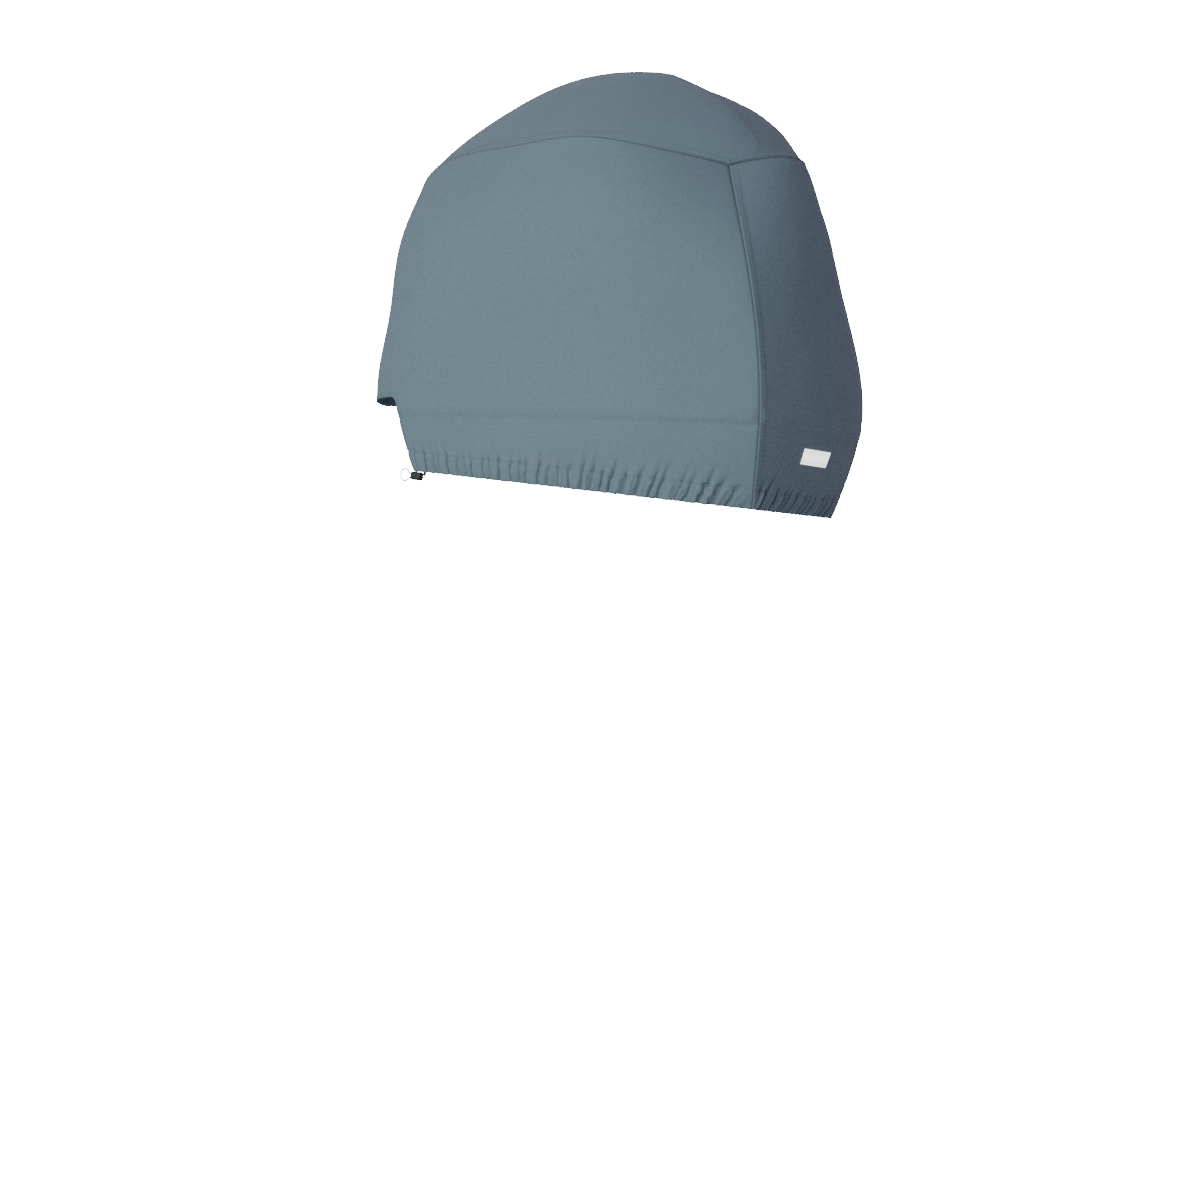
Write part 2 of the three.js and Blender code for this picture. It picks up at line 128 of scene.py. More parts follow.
# Cord, lock, label and stitches (length, width, height)
LOCK_SHARE = 0.187
LOCK_LENGTH, LOCK_WIDTH, LOCK_HEIGHT, LOCK_HOLE = 19.0, 13.0, 15.0, 3.8
STRAND_SPREAD = 4.0
SEAM_GAP = 0.3
LOOP = np.array([[4, 3.2], [8, 6.8], [12, 9.6], [16, 10.4], [20, 8.6], [23, 4.6]])
LOOP_LENGTH = 24.0
STRAND_REACH = {1: 5.0, -1: 8.0}
TURN_UP = np.array([[0.75, 0.25], [1, 0.62], [1, 1]])
LABEL_WIDTH, LABEL_HEIGHT, LABEL_ACROSS, LABEL_UP = 101.0, 26.0, -11.0, 98.0
LABEL_LIFT, LABEL_THICKNESS = 1.15, 0.7
LABEL_END, LABEL_FOLD = 6, 0.3  # width and height of the ends that are folded under
LABEL_ROW, LABEL_DENT, LABEL_RIM = 2.0, 0.25, 0.35  # stitches' inset and dent, drop of the rim
CLOTH_STITCH = (2.9, 0.7, 0.5)
LABEL_STITCH = (1.9, 0.45, 0.4)
LABEL_PITCH = 2.6
STITCH_SCALE = (900.0, 470.0)  # millimetres of cloth for the whole share along a side and up it, nearly


def length(name, description, default):
    """Property that holds a length, in metres."""
    return FloatProperty(name=name, description=description, unit="LENGTH", default=default)


def colour(name, description, default):
    """Property that holds a colour."""
    return FloatVectorProperty(name=name, description=description, subtype="COLOR", default=default)


class CoverClothSettings(bpy.types.PropertyGroup):
    """Sizes and colours of the cloth"""

    colour: colour("Canvas", "Colour of the canvas", (0.137, 0.212, 0.244))
    thickness: length("Thickness", "Thickness of the canvas", 1.2 * MM)
    pleat_depth: length("Gather depth", "Depth of the gathers at the casing", 6.4 * MM)
    sag: length("Slack", "Depth of the broad, soft hollows in the cloth", 1.4 * MM)
    thread_pitch: length("Thread pitch", "Distance between two threads of the weave", 1.1 * MM)
    stitch_pitch: length("Stitch length", "Length of one stitch with its gap", 4.0 * MM)
    felled_width: length("Seam allowance", "Width of the felled seam", 15.0 * MM)


class CoverCordSettings(bpy.types.PropertyGroup):
    """Sizes and colours of the cord and the label"""

    cord_diameter: length("Cord", "Diameter of the drawcord", 3.0 * MM)
    cord_colour: colour("Cord colour", "Colour of the cord", (0.012, 0.013, 0.015))
    label_colour: colour("Label", "Colour of the woven label", (0.95, 0.95, 0.93))


class CoverStageSettings(bpy.types.PropertyGroup):
    """Floor and light"""

    floor_drop: length("Floor", "Depth of the floor below the crown", 1.95)
    daylight: FloatProperty(name="Room light", description="Strength of the light all round", default=0.46)
    key: FloatProperty(
        name="Key light", description="Power of the large soft light", unit="POWER", default=104.0
    )


# Mathematics of the surfaces

def unit(vectors):
    """The vectors at length one."""
    return vectors / np.linalg.norm(vectors, axis=-1, keepdims=True)


def running_length(points):
    """Length of a line of points up to each of them."""
    return np.concatenate([[0], np.cumsum(np.linalg.norm(np.diff(points, axis=0), axis=1))])


def smooth(t):
    """Smooth step: 0 below 0, 1 above 1, 3t^2 - 2t^3 between."""
    t = np.clip(t, 0, 1)
    return t * t * (3 - 2 * t)


def bell(x, width):
    """Bell of height one: e^(-(x / width)^2)."""
    return np.exp(-((x / width) ** 2))


def natural_spline(knots, values):
    """Natural cubic spline: the second derivatives solve a three-banded system, and a point between two
    knots is their straight mix plus ((a^3 - a) left bend + (b^3 - b) right bend) h^2 / 6."""
    n = len(knots)
    gap = np.diff(knots)
    system = np.eye(n)
    pull = np.zeros(n)
    for i in range(1, n - 1):
        system[i, i - 1:i + 2] = gap[i - 1], 2 * (gap[i - 1] + gap[i]), gap[i]
        pull[i] = 6 * ((values[i + 1] - values[i]) / gap[i] - (values[i] - values[i - 1]) / gap[i - 1])
    bend = np.linalg.solve(system, pull)

    def curve(t):
        i = np.clip(np.searchsorted(knots, t, side="left") - 1, 0, n - 2)
        b = (t - knots[i]) / gap[i]
        a = 1 - b
        bent = ((a**3 - a) * bend[i] + (b**3 - b) * bend[i + 1]) * gap[i] ** 2 / 6
        return a * values[i] + b * values[i + 1] + bent

    return curve


front_x, half_width, seam_x, seam_half, rear_x = (
    natural_spline(LEVELS[:, 0], column) for column in LEVELS.T[1:])
shoulder_line, crown_line = (natural_spline(TOP_LINES[:, 0], column) for column in TOP_LINES.T[1:])


def side_outline(v, u):
    """Plan of a side at level v. For u up to a half it is a superellipse, x = widest - reach cos^(2/n) and
    y = half sin^(2/n), and then x runs straight aft while y falls by t^2.3 of the taper."""
    start = math.asin(FRONT_SEAM ** (CORNER_POWER / 2))
    left = np.maximum(1 - 2 * u, 0)
    angle = math.pi / 2 - (math.pi / 2 - start) * left ** (CORNER_POWER / 2)
    t = np.maximum(2 * u - 1, 0)
    cosine = np.maximum(np.cos(angle), 0) ** (2 / CORNER_POWER)
    sine = np.sin(angle) ** (2 / CORNER_POWER)
    x = WIDEST_X - (WIDEST_X - front_x(v)) * cosine + (seam_x(v) - WIDEST_X) * t
    y = half_width(v) * sine - (half_width(v) - seam_half(v)) * t**TAPER_POWER
    return x, y


def share_table(levels=81, steps=601):
    """u as a function of level and share of the length, from the running length of each level's plan."""
    u = np.linspace(0, 1, steps)
    v = np.linspace(0, 1, levels)
    x, y = side_outline(v[:, None], u[None, :])
    steps_run = np.cumsum(np.hypot(np.diff(x), np.diff(y)), axis=1)
    run = np.concatenate([np.zeros((levels, 1)), steps_run], axis=1)
    run /= run[:, -1:]
    return np.stack([np.interp(u, row, u) for row in run])


SHARES = share_table()


def side_plan(v, s):
    """Plan point at level v and share s of the side's length: u is read from the table, mixed between its
    four nearest entries."""
    v, s = np.broadcast_arrays(np.asarray(v, float), np.asarray(s, float))
    i = np.clip(v * (SHARES.shape[0] - 1), 0, SHARES.shape[0] - 1.000001)
    j = np.clip(s * (SHARES.shape[1] - 1), 0, SHARES.shape[1] - 1.000001)
    i0, j0 = i.astype(int), j.astype(int)
    a, b = i - i0, j - j0
    u = ((1 - a) * (1 - b) * SHARES[i0, j0] + a * (1 - b) * SHARES[i0 + 1, j0]
         + (1 - a) * b * SHARES[i0, j0 + 1] + a * b * SHARES[i0 + 1, j0 + 1])
    return side_outline(v, u)


def rear_plan(v, j):
    """Rear panel at level v: y = half width times j, x bulges by 1 - |j|^2.2."""
    return seam_x(v) + (rear_x(v) - seam_x(v)) * (1 - np.abs(j) ** REAR_CROWN_POWER), seam_half(v) * j


def front_plan(v, j):
    """Front panel at level v: the flat of the same superellipse between the two front seams."""
    share = FRONT_SEAM * np.abs(j)
    x = WIDEST_X - (WIDEST_X - front_x(v)) * (1 - share**CORNER_POWER) ** (1 / CORNER_POWER)
    return x, FRONT_SEAM * half_width(v) * j


def hip_climb(ahead):
    """Rise of the rear slope: rise (1 - (1 - d)^power), and straight on past three quarters of its length."""
    curved = np.minimum(ahead / HIP_LENGTH, HIP_STRAIGHT)
    tangent = HIP_RISE * HIP_POWER * (1 - HIP_STRAIGHT) ** (HIP_POWER - 1) / HIP_LENGTH
    past = np.maximum(0, ahead - HIP_STRAIGHT * HIP_LENGTH)
    return HIP_RISE * (1 - (1 - curved) ** HIP_POWER) + tangent * past


def roof_and_slope(s, j):
    """Plan of the top at share s and j across, with the heights there of its arched roof and of the slope
    that climbs from the rear seam."""
    edge_x, edge_y = side_plan(np.ones_like(s), s)
    front_at, _ = front_plan(1.0, j)
    front_end, _ = front_plan(1.0, 1.0)
    rear_at, _ = rear_plan(1.0, j)
    rear_end, _ = rear_plan(1.0, 1.0)
    x = edge_x + (1 - s) * (front_at - front_end) + s * (rear_at - rear_end)
    across = np.abs(j)
    roof = crown_line(s) - (crown_line(s) - shoulder_line(s)) * across**DOME_POWER
    seam = shoulder_line(1.0) + HIP_ARCH * (1 - across**REAR_CROWN_POWER)
    return x, edge_y * j, roof, seam + hip_climb(np.maximum(0, rear_at - x))


def top_point(s, j):
    """Top at share s and j across: the lower of the roof and the slope, with the ridge between them rounded
    by a hyperbola."""
    s, j = np.broadcast_arrays(np.asarray(s, float), np.asarray(j, float))
    x, y, roof, slope = roof_and_slope(s, j)
    z = (roof + slope) / 2 - np.hypot(roof - slope, 2 * HIP_SOFTNESS) / 2
    return np.stack([x, y, z], axis=-1)


def ridge_relief(s, j):
    """Relief along the top's ridge, where q is the roof's height over the slope: the roof swells by
    e^(q/25) towards it, and behind it the slope drops by (1 - e^(-q/7)) e^(-q/60)."""
    _, _, roof, slope = roof_and_slope(s, j)
    q = roof - slope
    behind = np.maximum(q, 0)
    drop = RIDGE_DROP * (1 - np.exp(-behind / RIDGE_BREAK)) * np.exp(-behind / RIDGE_FADE)
    return np.where(q < 0, RIDGE_SWELL * np.exp(q / RIDGE_RISE), RIDGE_SWELL - drop)


def tuck_height(s):
    """Height of the tuck at share s of the side."""
    return TUCK_HEIGHT[0] + (TUCK_HEIGHT[1] - TUCK_HEIGHT[0]) * s


def wall_height(v, tuck, seam):
    """Height at level v: straight up to the tuck, then straight up to the top seam."""
    return np.where(v < TUCK_V, tuck * v / TUCK_V, tuck + (seam - tuck) * (v - TUCK_V) / (1 - TUCK_V))


def side_wall(side):
    """Surface of a side: its plan at each level, lifted to the wall's height there."""
    def surface(s, v):
        x, y = side_plan(v, s)
        z = wall_height(v, tuck_height(s), top_point(s, np.full_like(s, side))[..., 2])
        return np.stack([x, side * y, z], axis=-1)
    return surface


def end_wall(plan, s):
    """Surface of the rear or front panel, a running from port to starboard."""
    def surface(a, v):
        j = 2 * a - 1
        x, y = plan(v, j)
        z = wall_height(v, tuck_height(s), top_point(np.full_like(j, s), j)[..., 2])
        return np.stack([x, y, z], axis=-1)
    return surface


SURFACES = {
    "port": side_wall(-1),
    "starboard": side_wall(1),
    "rear": end_wall(rear_plan, 1.0),
    "front": end_wall(front_plan, 0.0),
    "top": lambda s, a: top_point(s, 2 * a - 1),
}
MIDDLE = np.array([0.0, 0.0, 250.0])


def metric(surface, a, b):
    """Point, unit normal turned away from the cover's middle, and millimetres per unit of a and of b, from
    chords round the point."""
    low_a, high_a = np.maximum(a - CELL, 0), np.minimum(a + CELL, 1)
    low_b, high_b = np.maximum(b - CELL, 0), np.minimum(b + CELL, 1)
    along_a = (surface(high_a, b) - surface(low_a, b)) / (high_a - low_a)[..., None]
    along_b = (surface(a, high_b) - surface(a, low_b)) / (high_b - low_b)[..., None]
    point = surface(a, b)
    normal = unit(np.cross(along_a, along_b))
    facing = np.sum(normal * (point - MIDDLE), axis=-1, keepdims=True)
    return (point, normal * np.where(facing < 0, -1.0, 1.0),
            np.linalg.norm(along_a, axis=-1), np.linalg.norm(along_b, axis=-1))


def in_frame(points):
    """From the cowl's frame to the part's: the crown's seat goes to the origin, then the trim turns it."""
    seat = top_point(np.array(SEAT_SHARE), np.array(0.0)) - [0, 0, SHEET]
    p = (points - seat) * MM
    c, s = math.cos(TRIM), math.sin(TRIM)
    return np.stack([p[..., 0] * c + p[..., 2] * s, p[..., 1], p[..., 2] * c - p[..., 0] * s], axis=-1)


# Relief of the cloth

def crowded(t):
    """Share of a side's pleats that has passed at share t of its hem: they crowd towards the front."""
    c = SIDE_CROWDING
    return (1 + c - np.sqrt((1 + c) ** 2 - 4 * c * t)) / (2 * c)


def uncrowded(h):
    """The inverse of crowded: t = h (1 + c) - c h^2."""
    return h * (1 + SIDE_CROWDING) - SIDE_CROWDING * h * h


def uneven(turn, seed, low, high):
    """Random run along the hem: seeded values at whole turns, mixed by the smooth step between them."""
    table = np.random.default_rng(seed).uniform(low, high, UNEVEN_VALUES)
    at = np.mod(turn, UNEVEN_VALUES - 1)
    whole = at.astype(int)
    return table[whole] + (table[whole + 1] - table[whole]) * smooth(at - whole)


def fold_wave(turn, height, depth):
    """Gathers: rounded ridges with narrow valleys, |sin|^0.75 of the turn, whose spacing and depth change
    from fold to fold. Each fades at its own height above the casing, which a finer crinkle fills."""
    above = np.maximum(0, height - CASING_HEIGHT)
    reach = FOLD_REACH + CHANCE_REACH * uneven(turn, 23, 0, 1) ** 2
    fade = np.exp(-((above / reach) ** 1.2))
    shifted = turn + uneven(turn, 21, -0.34, 0.34) + 0.1 * uneven(height / 9 + 3 * turn, 25, -1, 1)
    ridge = np.abs(np.sin(np.pi * shifted)) ** FOLD_POWER - FOLD_MEAN
    inside = 1 - smooth((height - CASING_HEIGHT + 6) / 6)
    crinkle = 0.32 * inside * (np.abs(np.sin(2.3 * np.pi * shifted + 1)) - 0.6)
    return depth * fade * (uneven(turn + 0.4, 22, 0.3, 1.0) * ridge + crinkle)


def slack(a, b, seed):
    """Broad, soft hollows: four crossed waves of 120 to 260 mm, as cloth drawn over a cowl keeps."""
    turn = np.random.default_rng(seed).uniform(0, 2 * np.pi, 8)
    return (0.45 * np.sin(a / 41 + turn[0] + 0.9 * np.sin(b / 70 + turn[4]))
            + 0.35 * np.sin(a / 27 + b / 95 + turn[1])
            + 0.3 * np.sin(b / 38 - a / 120 + turn[2] + 0.7 * np.sin(a / 60 + turn[5]))
            + 0.2 * np.sin(a / 19 - b / 33 + turn[3]))


class Panel:
    """One panel of cloth: its smooth surface, the neighbours at its seams, and where it is felled."""

    def __init__(self, name, seams, felled, pleats=None, cut=None, seed=0):
        self.name = name
        self.surface = SURFACES[name]
        self.seams = seams
        self.felled = felled
        self.pleats = pleats
        self.cut = cut
        self.seed = seed

    def tuck(self, a):
        """Height of the tuck, which is level along the rear panel."""
        return tuck_height(np.ones_like(a) if self.name == "rear" else a)

    def cloth(self, a, b):
        """The cloth itself: the smooth surface pushed along its normal by the slack, the gathers, the tuck,
        the top's ridge, the felled seams and the turned edge. Near a seam the push turns into the mitre
        between the two panels and dips into the seam's groove. It gives the points, the height of the
        gathers and the nearness of a seam."""
        cloth = bpy.context.scene.cover_cloth
        point, normal, scale_a, scale_b = metric(self.surface, a, b)
        away = {"a0": a * scale_a, "a1": (1 - a) * scale_a, "b0": b * scale_b, "b1": (1 - b) * scale_b}
        relief = cloth.sag / MM * slack(a * scale_a, point[..., 2], self.seed)
        if self.name == "top":
            relief = relief + ridge_relief(a, 2 * b - 1)
        tone = np.zeros_like(relief)
        if self.pleats:
            waves, swell = self.pleats(a, point[..., 2], cloth.pleat_depth / MM)
            relief = relief * smooth(point[..., 2] / 70) + waves + swell
            tone = waves
            past = point[..., 2] - self.tuck(a)
            relief = relief + TUCK_RIDGE * bell(past - TUCK_RIDGE_UP, TUCK_RIDGE_WIDTH)
            relief = relief - TUCK_CREASE * bell(past, TUCK_CREASE_WIDTH)
        direction = normal
        dip = np.zeros_like(relief)
        near = np.zeros_like(relief)
        for edge, neighbour in self.seams.items():
            distance = away[edge]
            mitre = unit(normal + neighbour(a, b))
            turn = smooth(distance / MITRE_REACH)[..., None]
            direction = direction * turn + mitre * (1 - turn)
            relief = relief * smooth(distance / SEAM_REST)
            dip = np.maximum(dip, GROOVE_DEPTH * (1 - smooth(distance / GROOVE_WIDTH)))
            # nearness of the seam, which the canvas turns into painted shade in the groove and a light rub
            near = np.maximum(near, np.exp(-distance / SEAM_SHADE_AND_RUB_REACH))
            if edge in self.felled:
                inside = cloth.felled_width / MM - distance
                relief = relief + FELLED_STEP * smooth(distance / FELLED_RISE) * smooth(inside / FELLED_FALL)
        if self.cut:
            turned = smooth((HEM_BAND - self.cut(a, b, scale_a, scale_b)) / HEM_FALL)
            relief = relief + HEM_STEP * turned
            near = np.maximum(near, 0.5 * turned)
        return point + unit(direction) * (relief - dip)[..., None], tone, near


def pleats_of_side(s, height, depth):
    """Gathers of a side: their phase runs along the crowded hem and leans aft as the height grows."""
    t = uncrowded(np.clip((s - CUT_SHARE) / (1 - CUT_SHARE), 0, 1))
    lean = SIDE_LEAN + (REAR_LEAN - SIDE_LEAN) * t * t
    return gather_at(t, SIDE_PLEATS, lean, height, depth * (0.75 + 0.65 * t))


def pleats_of_rear(a, height, depth):
    """Gathers of the rear panel, evenly spaced."""
    return gather_at(a, REAR_PLEATS, REAR_LEAN, height, depth * 1.35)


def gather_at(t, count, lean, height, depth):
    """The fold wave at share t of a hem, with the casing's swell and the dent of its stitching."""
    turn = count * t - lean * height / CASING_HEIGHT + 4
    ends = np.minimum(1, 16 * np.minimum(t, 1 - t))
    waves = ends * fold_wave(turn, height, depth)
    inside = np.clip(height / CASING_HEIGHT, 0, 1)
    swell = CASING_SWELL * np.sin(np.pi * inside) ** 0.8 * (height < CASING_HEIGHT)
    return waves, swell - STITCH_DENT * bell(height - CASING_HEIGHT, STITCH_DENT_WIDTH)


def cut_of_side(s, v, scale_s, scale_v):
    """Distance from the rounded cut-out: that of a quadrant whose corner has a radius."""
    ahead = (s - CUT_SHARE) * scale_s
    above = (v - CUT_V) * scale_v
    qx, qy = ahead + CUT_RADIUS, above + CUT_RADIUS
    return np.hypot(np.maximum(qx, 0), np.maximum(qy, 0)) + np.minimum(np.maximum(qx, qy), 0) - CUT_RADIUS


def cut_of_front(a, v, scale_a, scale_v):
    """Distance from the front panel's lower edge."""
    return (v - CUT_V) * scale_v


def seam_normal(panel, place):
    """Normal of a neighbouring panel along a seam, where place gives its own two shares there."""
    return lambda a, b: metric(SURFACES[panel], *np.broadcast_arrays(*place(a, b)))[1]


def side_panel(name, across):
    """A side, whose seams run along the front panel, the rear panel and the top."""
    end = np.ones_like if across else np.zeros_like
    return Panel(
        name,
        seams={
            "a0": seam_normal("front", lambda a, b: (end(b), b)),
            "a1": seam_normal("rear", lambda a, b: (end(b), b)),
            "b1": seam_normal("top", lambda a, b: (a, end(a))),
        },
        felled=[],
        pleats=pleats_of_side,
        cut=cut_of_side,
        seed=3 + across,
    )


def end_panel(name, s, felled, pleats=None, cut=None, seed=0):
    """The rear or front panel, whose seams run along the two sides and the top."""
    return Panel(
        name,
        seams={
            "a0": seam_normal("port", lambda a, b: (np.full_like(b, s), b)),
            "a1": seam_normal("starboard", lambda a, b: (np.full_like(b, s), b)),
            "b1": seam_normal("top", lambda a, b: (np.full_like(a, s), a)),
        },
        felled=felled,
        pleats=pleats,
        cut=cut,
        seed=seed,
    )


PANELS = {
    "port": side_panel("port", 0),
    "starboard": side_panel("starboard", 1),
    "rear": end_panel("rear", 1.0, ["a0", "a1"], pleats=pleats_of_rear, seed=7),
    "front": end_panel("front", 0.0, ["a0", "a1"], cut=cut_of_front, seed=8),
    "top": Panel(
        "top",
        seams={
            "a0": seam_normal("front", lambda a, b: (b, np.ones_like(b))),
            "a1": seam_normal("rear", lambda a, b: (b, np.ones_like(b))),
            "b0": seam_normal("port", lambda a, b: (a, np.ones_like(a))),
            "b1": seam_normal("starboard", lambda a, b: (a, np.ones_like(a))),
        },
        felled=["b0", "b1", "a0", "a1"],
        seed=11,
    ),
}


# Meshes

def link_object(name, data):
    """New object in the scene."""
    made = bpy.data.objects.new(name, data)
    bpy.context.scene.collection.objects.link(made)
    return made


def smooth_mesh(name, points, faces):
    """New smooth mesh, and the point at each of its face corners."""
    mesh = bpy.data.meshes.new(name)
    mesh.from_pydata(points.tolist(), [], faces)
    mesh.polygons.foreach_set("use_smooth", np.ones(len(mesh.polygons), bool))
    corners = np.zeros(len(mesh.loops), int)
    mesh.loops.foreach_get("vertex_index", corners)
    return mesh, corners


def put_uv(mesh, uv):
    """UV map from one pair for each face corner."""
    mesh.uv_layers.new(name="UVMap").uv.foreach_set("vector", uv.astype(np.float32).ravel())


def put_mesh(name, points, faces, uv=None, attributes=None):
    """New object at the origin whose mesh holds the points, the faces, a UV for each point and attributes."""
    mesh, corners = smooth_mesh(name, points, faces.tolist())
    if uv is not None:
        put_uv(mesh, uv[corners])
    for key, values in (attributes or {}).items():
        layer = mesh.attributes.new(key, "FLOAT", "POINT")
        layer.data.foreach_set("value", values.astype(np.float32).ravel())
    mesh.update()
    return link_object(name, mesh)


def add_wall(piece, name, thickness):
    """Solidify modifier that gives a cloth its thickness on the inside."""
    wall = piece.modifiers.new(name, "SOLIDIFY")
    wall.thickness = thickness
    wall.offset = -1
    return wall


def grid_faces(rows, columns):
    """Quads of a grid of points, row by row."""
    corner = np.arange((rows - 1) * (columns - 1))
    corner = corner // (columns - 1) * columns + corner % (columns - 1)
    return np.stack([corner, corner + 1, corner + columns + 1, corner + columns], axis=-1)


def face_outward(points, faces):
    """The faces with their order turned if most of them look at the cover's middle."""
    middle = in_frame(MIDDLE)
    a, b, c = (points[faces[:, k]] for k in (0, 1, 2))
    looks = np.sum(np.cross(b - a, c - a) * (a - middle), axis=-1)
    return faces[:, ::-1] if np.sum(looks) < 0 else faces


def cloth_mesh(name, panel, a, b, size, keep=None):
    """A panel's cloth on the grid of shares a, b. keep marks the grid's cells that are cloth. UVs are the
    shares in metres of cloth, so that the threads run along the panel and up it."""
    points, tone, near = panel.cloth(a, b)
    rows, columns = a.shape
    faces = grid_faces(rows, columns)
    if keep is not None:
        faces = faces[keep.ravel()]
    used, renamed = np.unique(faces, return_inverse=True)
    points = in_frame(points).reshape(-1, 3)[used]
    uv = np.stack([a * size[0], b * size[1]], axis=-1).reshape(-1, 2)[used]
    faces = face_outward(points, renamed.reshape(-1, 4))
    # fold and seam drive the canvas's painted shade in the gathers' valleys and the seams' grooves
    attributes = {"fold": tone.ravel()[used], "seam": near.ravel()[used]}
    piece = put_mesh(name, points, faces, uv, attributes)
    wall = add_wall(piece, "cloth_thickness", bpy.context.scene.cover_cloth.thickness)
    wall.use_quality_normals = True
    return piece


def crowd_ends(count, length):
    """Shares from 0 to 1, evenly spaced but for more of them at both ends, for the seams' grooves."""
    shares = np.linspace(0, 1, count)
    near = EDGE_STEPS / length
    middle = shares[(shares > near[-1] * 1.4) & (shares < 1 - near[-1] * 1.4)]
    return np.concatenate([near, middle, 1 - near[::-1]])


def low_levels(tuck, top_level):
    """Levels of the rows from the hem to the cut-out: close rows in the casing, wider ones to the tuck, and
    the rows of the cut-out's round corner. tuck is the tuck's height at each column."""
    casing = np.concatenate([np.arange(0, 38, 1.9), np.arange(38, 62, 3.0)])
    low = casing[:, None] / tuck[None, :] * TUCK_V
    share = np.linspace(0, 1, 8)[1:, None]
    middle = low[-1:] + (TUCK_V * (1 - 13 / tuck) - low[-1:]) * share
    tucked = TUCK_V * (1 - np.array([9, 6, 4, 2.5, 1.2, 0])[:, None] / tuck)
    above = TUCK_V + np.array([1.5, 3, 4.5, 7, 10]) * WALL_STEP
    corner = top_level - CUT_RADIUS * WALL_STEP * (1 - np.sin(np.linspace(0, np.pi / 2, 11)))
    high = np.concatenate([above, corner])
    return np.concatenate([low, middle, tucked, np.repeat(high[:, None], low.shape[1], axis=1)])


def wall_levels(length):
    """Levels from the cut-out to the shoulder seam."""
    even = np.linspace(0, 1, WALL_ROWS)
    crowd = 1 - EDGE_STEPS[::-1] / length
    levels = np.concatenate([even[even < crowd[0] - 0.008], crowd])
    return CUT_V + (1 - CUT_V) * levels[1:]


def side_cloth(name, panel):
    """Grid of a side. Below the cut-out the columns start at its edge, which turns forward over a round
    corner, and above it they run to the front seam."""
    radius_s = CUT_RADIUS / 860
    radius_v = CUT_RADIUS * WALL_STEP
    along = crowd_ends(SIDE_COLUMNS, 750)
    hem = CUT_SHARE + (1 - CUT_SHARE) * crowded(along)
    levels = low_levels(tuck_height(hem), CUT_V)
    t = np.clip((levels[:, 0] - (CUT_V - radius_v)) / radius_v, 0, 1)
    first = CUT_SHARE - radius_s * (1 - np.sqrt(1 - t * t))
    s_low = first[:, None] + (1 - first[:, None]) * crowded(along)[None, :]
    corner = crowd_ends(CORNER_COLUMNS, 110)[:-1] * first[-1]
    high = wall_levels(420)
    s = np.concatenate([s_low, np.repeat(s_low[-1:], len(high), axis=0)])
    v = np.concatenate([levels, np.repeat(high[:, None], s_low.shape[1], axis=1)])
    s = np.concatenate([np.repeat(corner[None, :], len(s), axis=0), s], axis=1)
    v = np.concatenate([np.repeat(v[:, :1], len(corner), axis=1), v], axis=1)
    v[:len(levels) - 1, :len(corner)] = CUT_V
    keep = np.ones((s.shape[0] - 1, s.shape[1] - 1), bool)
    keep[:len(levels) - 1, :len(corner)] = False
    return cloth_mesh(name, panel, s, v, (0.9, 0.62), keep)


def rear_cloth(name, panel):
    """Grid of the rear panel: the same rows as a side, at the rear tuck's height."""
    across = crowd_ends(REAR_COLUMNS, 400)
    levels = low_levels(np.full(len(across), TUCK_HEIGHT[1]), CUT_V)
    high = wall_levels(430)
    v = np.concatenate([levels, np.repeat(high[:, None], len(across), axis=1)])
    return cloth_mesh(name, panel, np.repeat(across[None, :], len(v), axis=0), v, (0.42, 0.6))


def front_cloth(name, panel):
    """Grid of the front panel, from the cut-out's top edge to the top."""
    a, v = np.meshgrid(crowd_ends(FRONT_COLUMNS, 340), np.concatenate([[CUT_V], wall_levels(360)]))
    return cloth_mesh(name, panel, a, v, (0.36, 0.5))


def top_cloth(name, panel):
    """Grid of the top, s along it and a across it."""
    s, a = np.meshgrid(crowd_ends(TOP_COLUMNS, 800), crowd_ends(TOP_ROWS, 560))
    return cloth_mesh(name, panel, s, a, (0.8, 0.56))


# Stitching

def even_run(points, pitch):
    """Places at an even pitch along a line of points, each as the index and fraction of its points."""
    run = running_length(points)
    places = np.arange(pitch * 0.6, run[-1] - pitch * 0.4, pitch)
    return np.interp(places, run, np.arange(len(run)))


def stitch_shape(length, width, height, rings=5, sides=6):
    """One stitch along x: rings of a flat ellipse whose size follows the root of 1 - x^2, with a pole at
    each end. It gives points and triangles."""
    x = np.cos(np.linspace(np.pi, 0, rings + 2)[1:-1])
    size = np.sqrt(1 - x**2)
    turn = np.linspace(0, 2 * np.pi, sides, endpoint=False)
    ring = np.stack([
        np.repeat(x[:, None], sides, axis=1) * length / 2,
        size[:, None] * np.cos(turn)[None, :] * width / 2,
        size[:, None] * np.sin(turn)[None, :] * height / 2,
    ], axis=-1).reshape(-1, 3)
    points = np.concatenate([ring, [[-length / 2, 0, 0], [length / 2, 0, 0]]])
    k = np.arange(sides)
    following = (k + 1) % sides
    faces = []
    for r in range(rings - 1):
        low, high = r * sides, (r + 1) * sides
        faces += [np.stack([low + k, high + k, high + following], -1)]
        faces += [np.stack([low + k, high + following, low + following], -1)]
    first, last = rings * sides, rings * sides + 1
    faces += [np.stack([np.full(sides, first), k, following], -1)]
    faces += [np.stack([np.full(sides, last), (rings - 1) * sides + following, (rings - 1) * sides + k], -1)]
    return points, np.concatenate(faces)[:, ::-1]


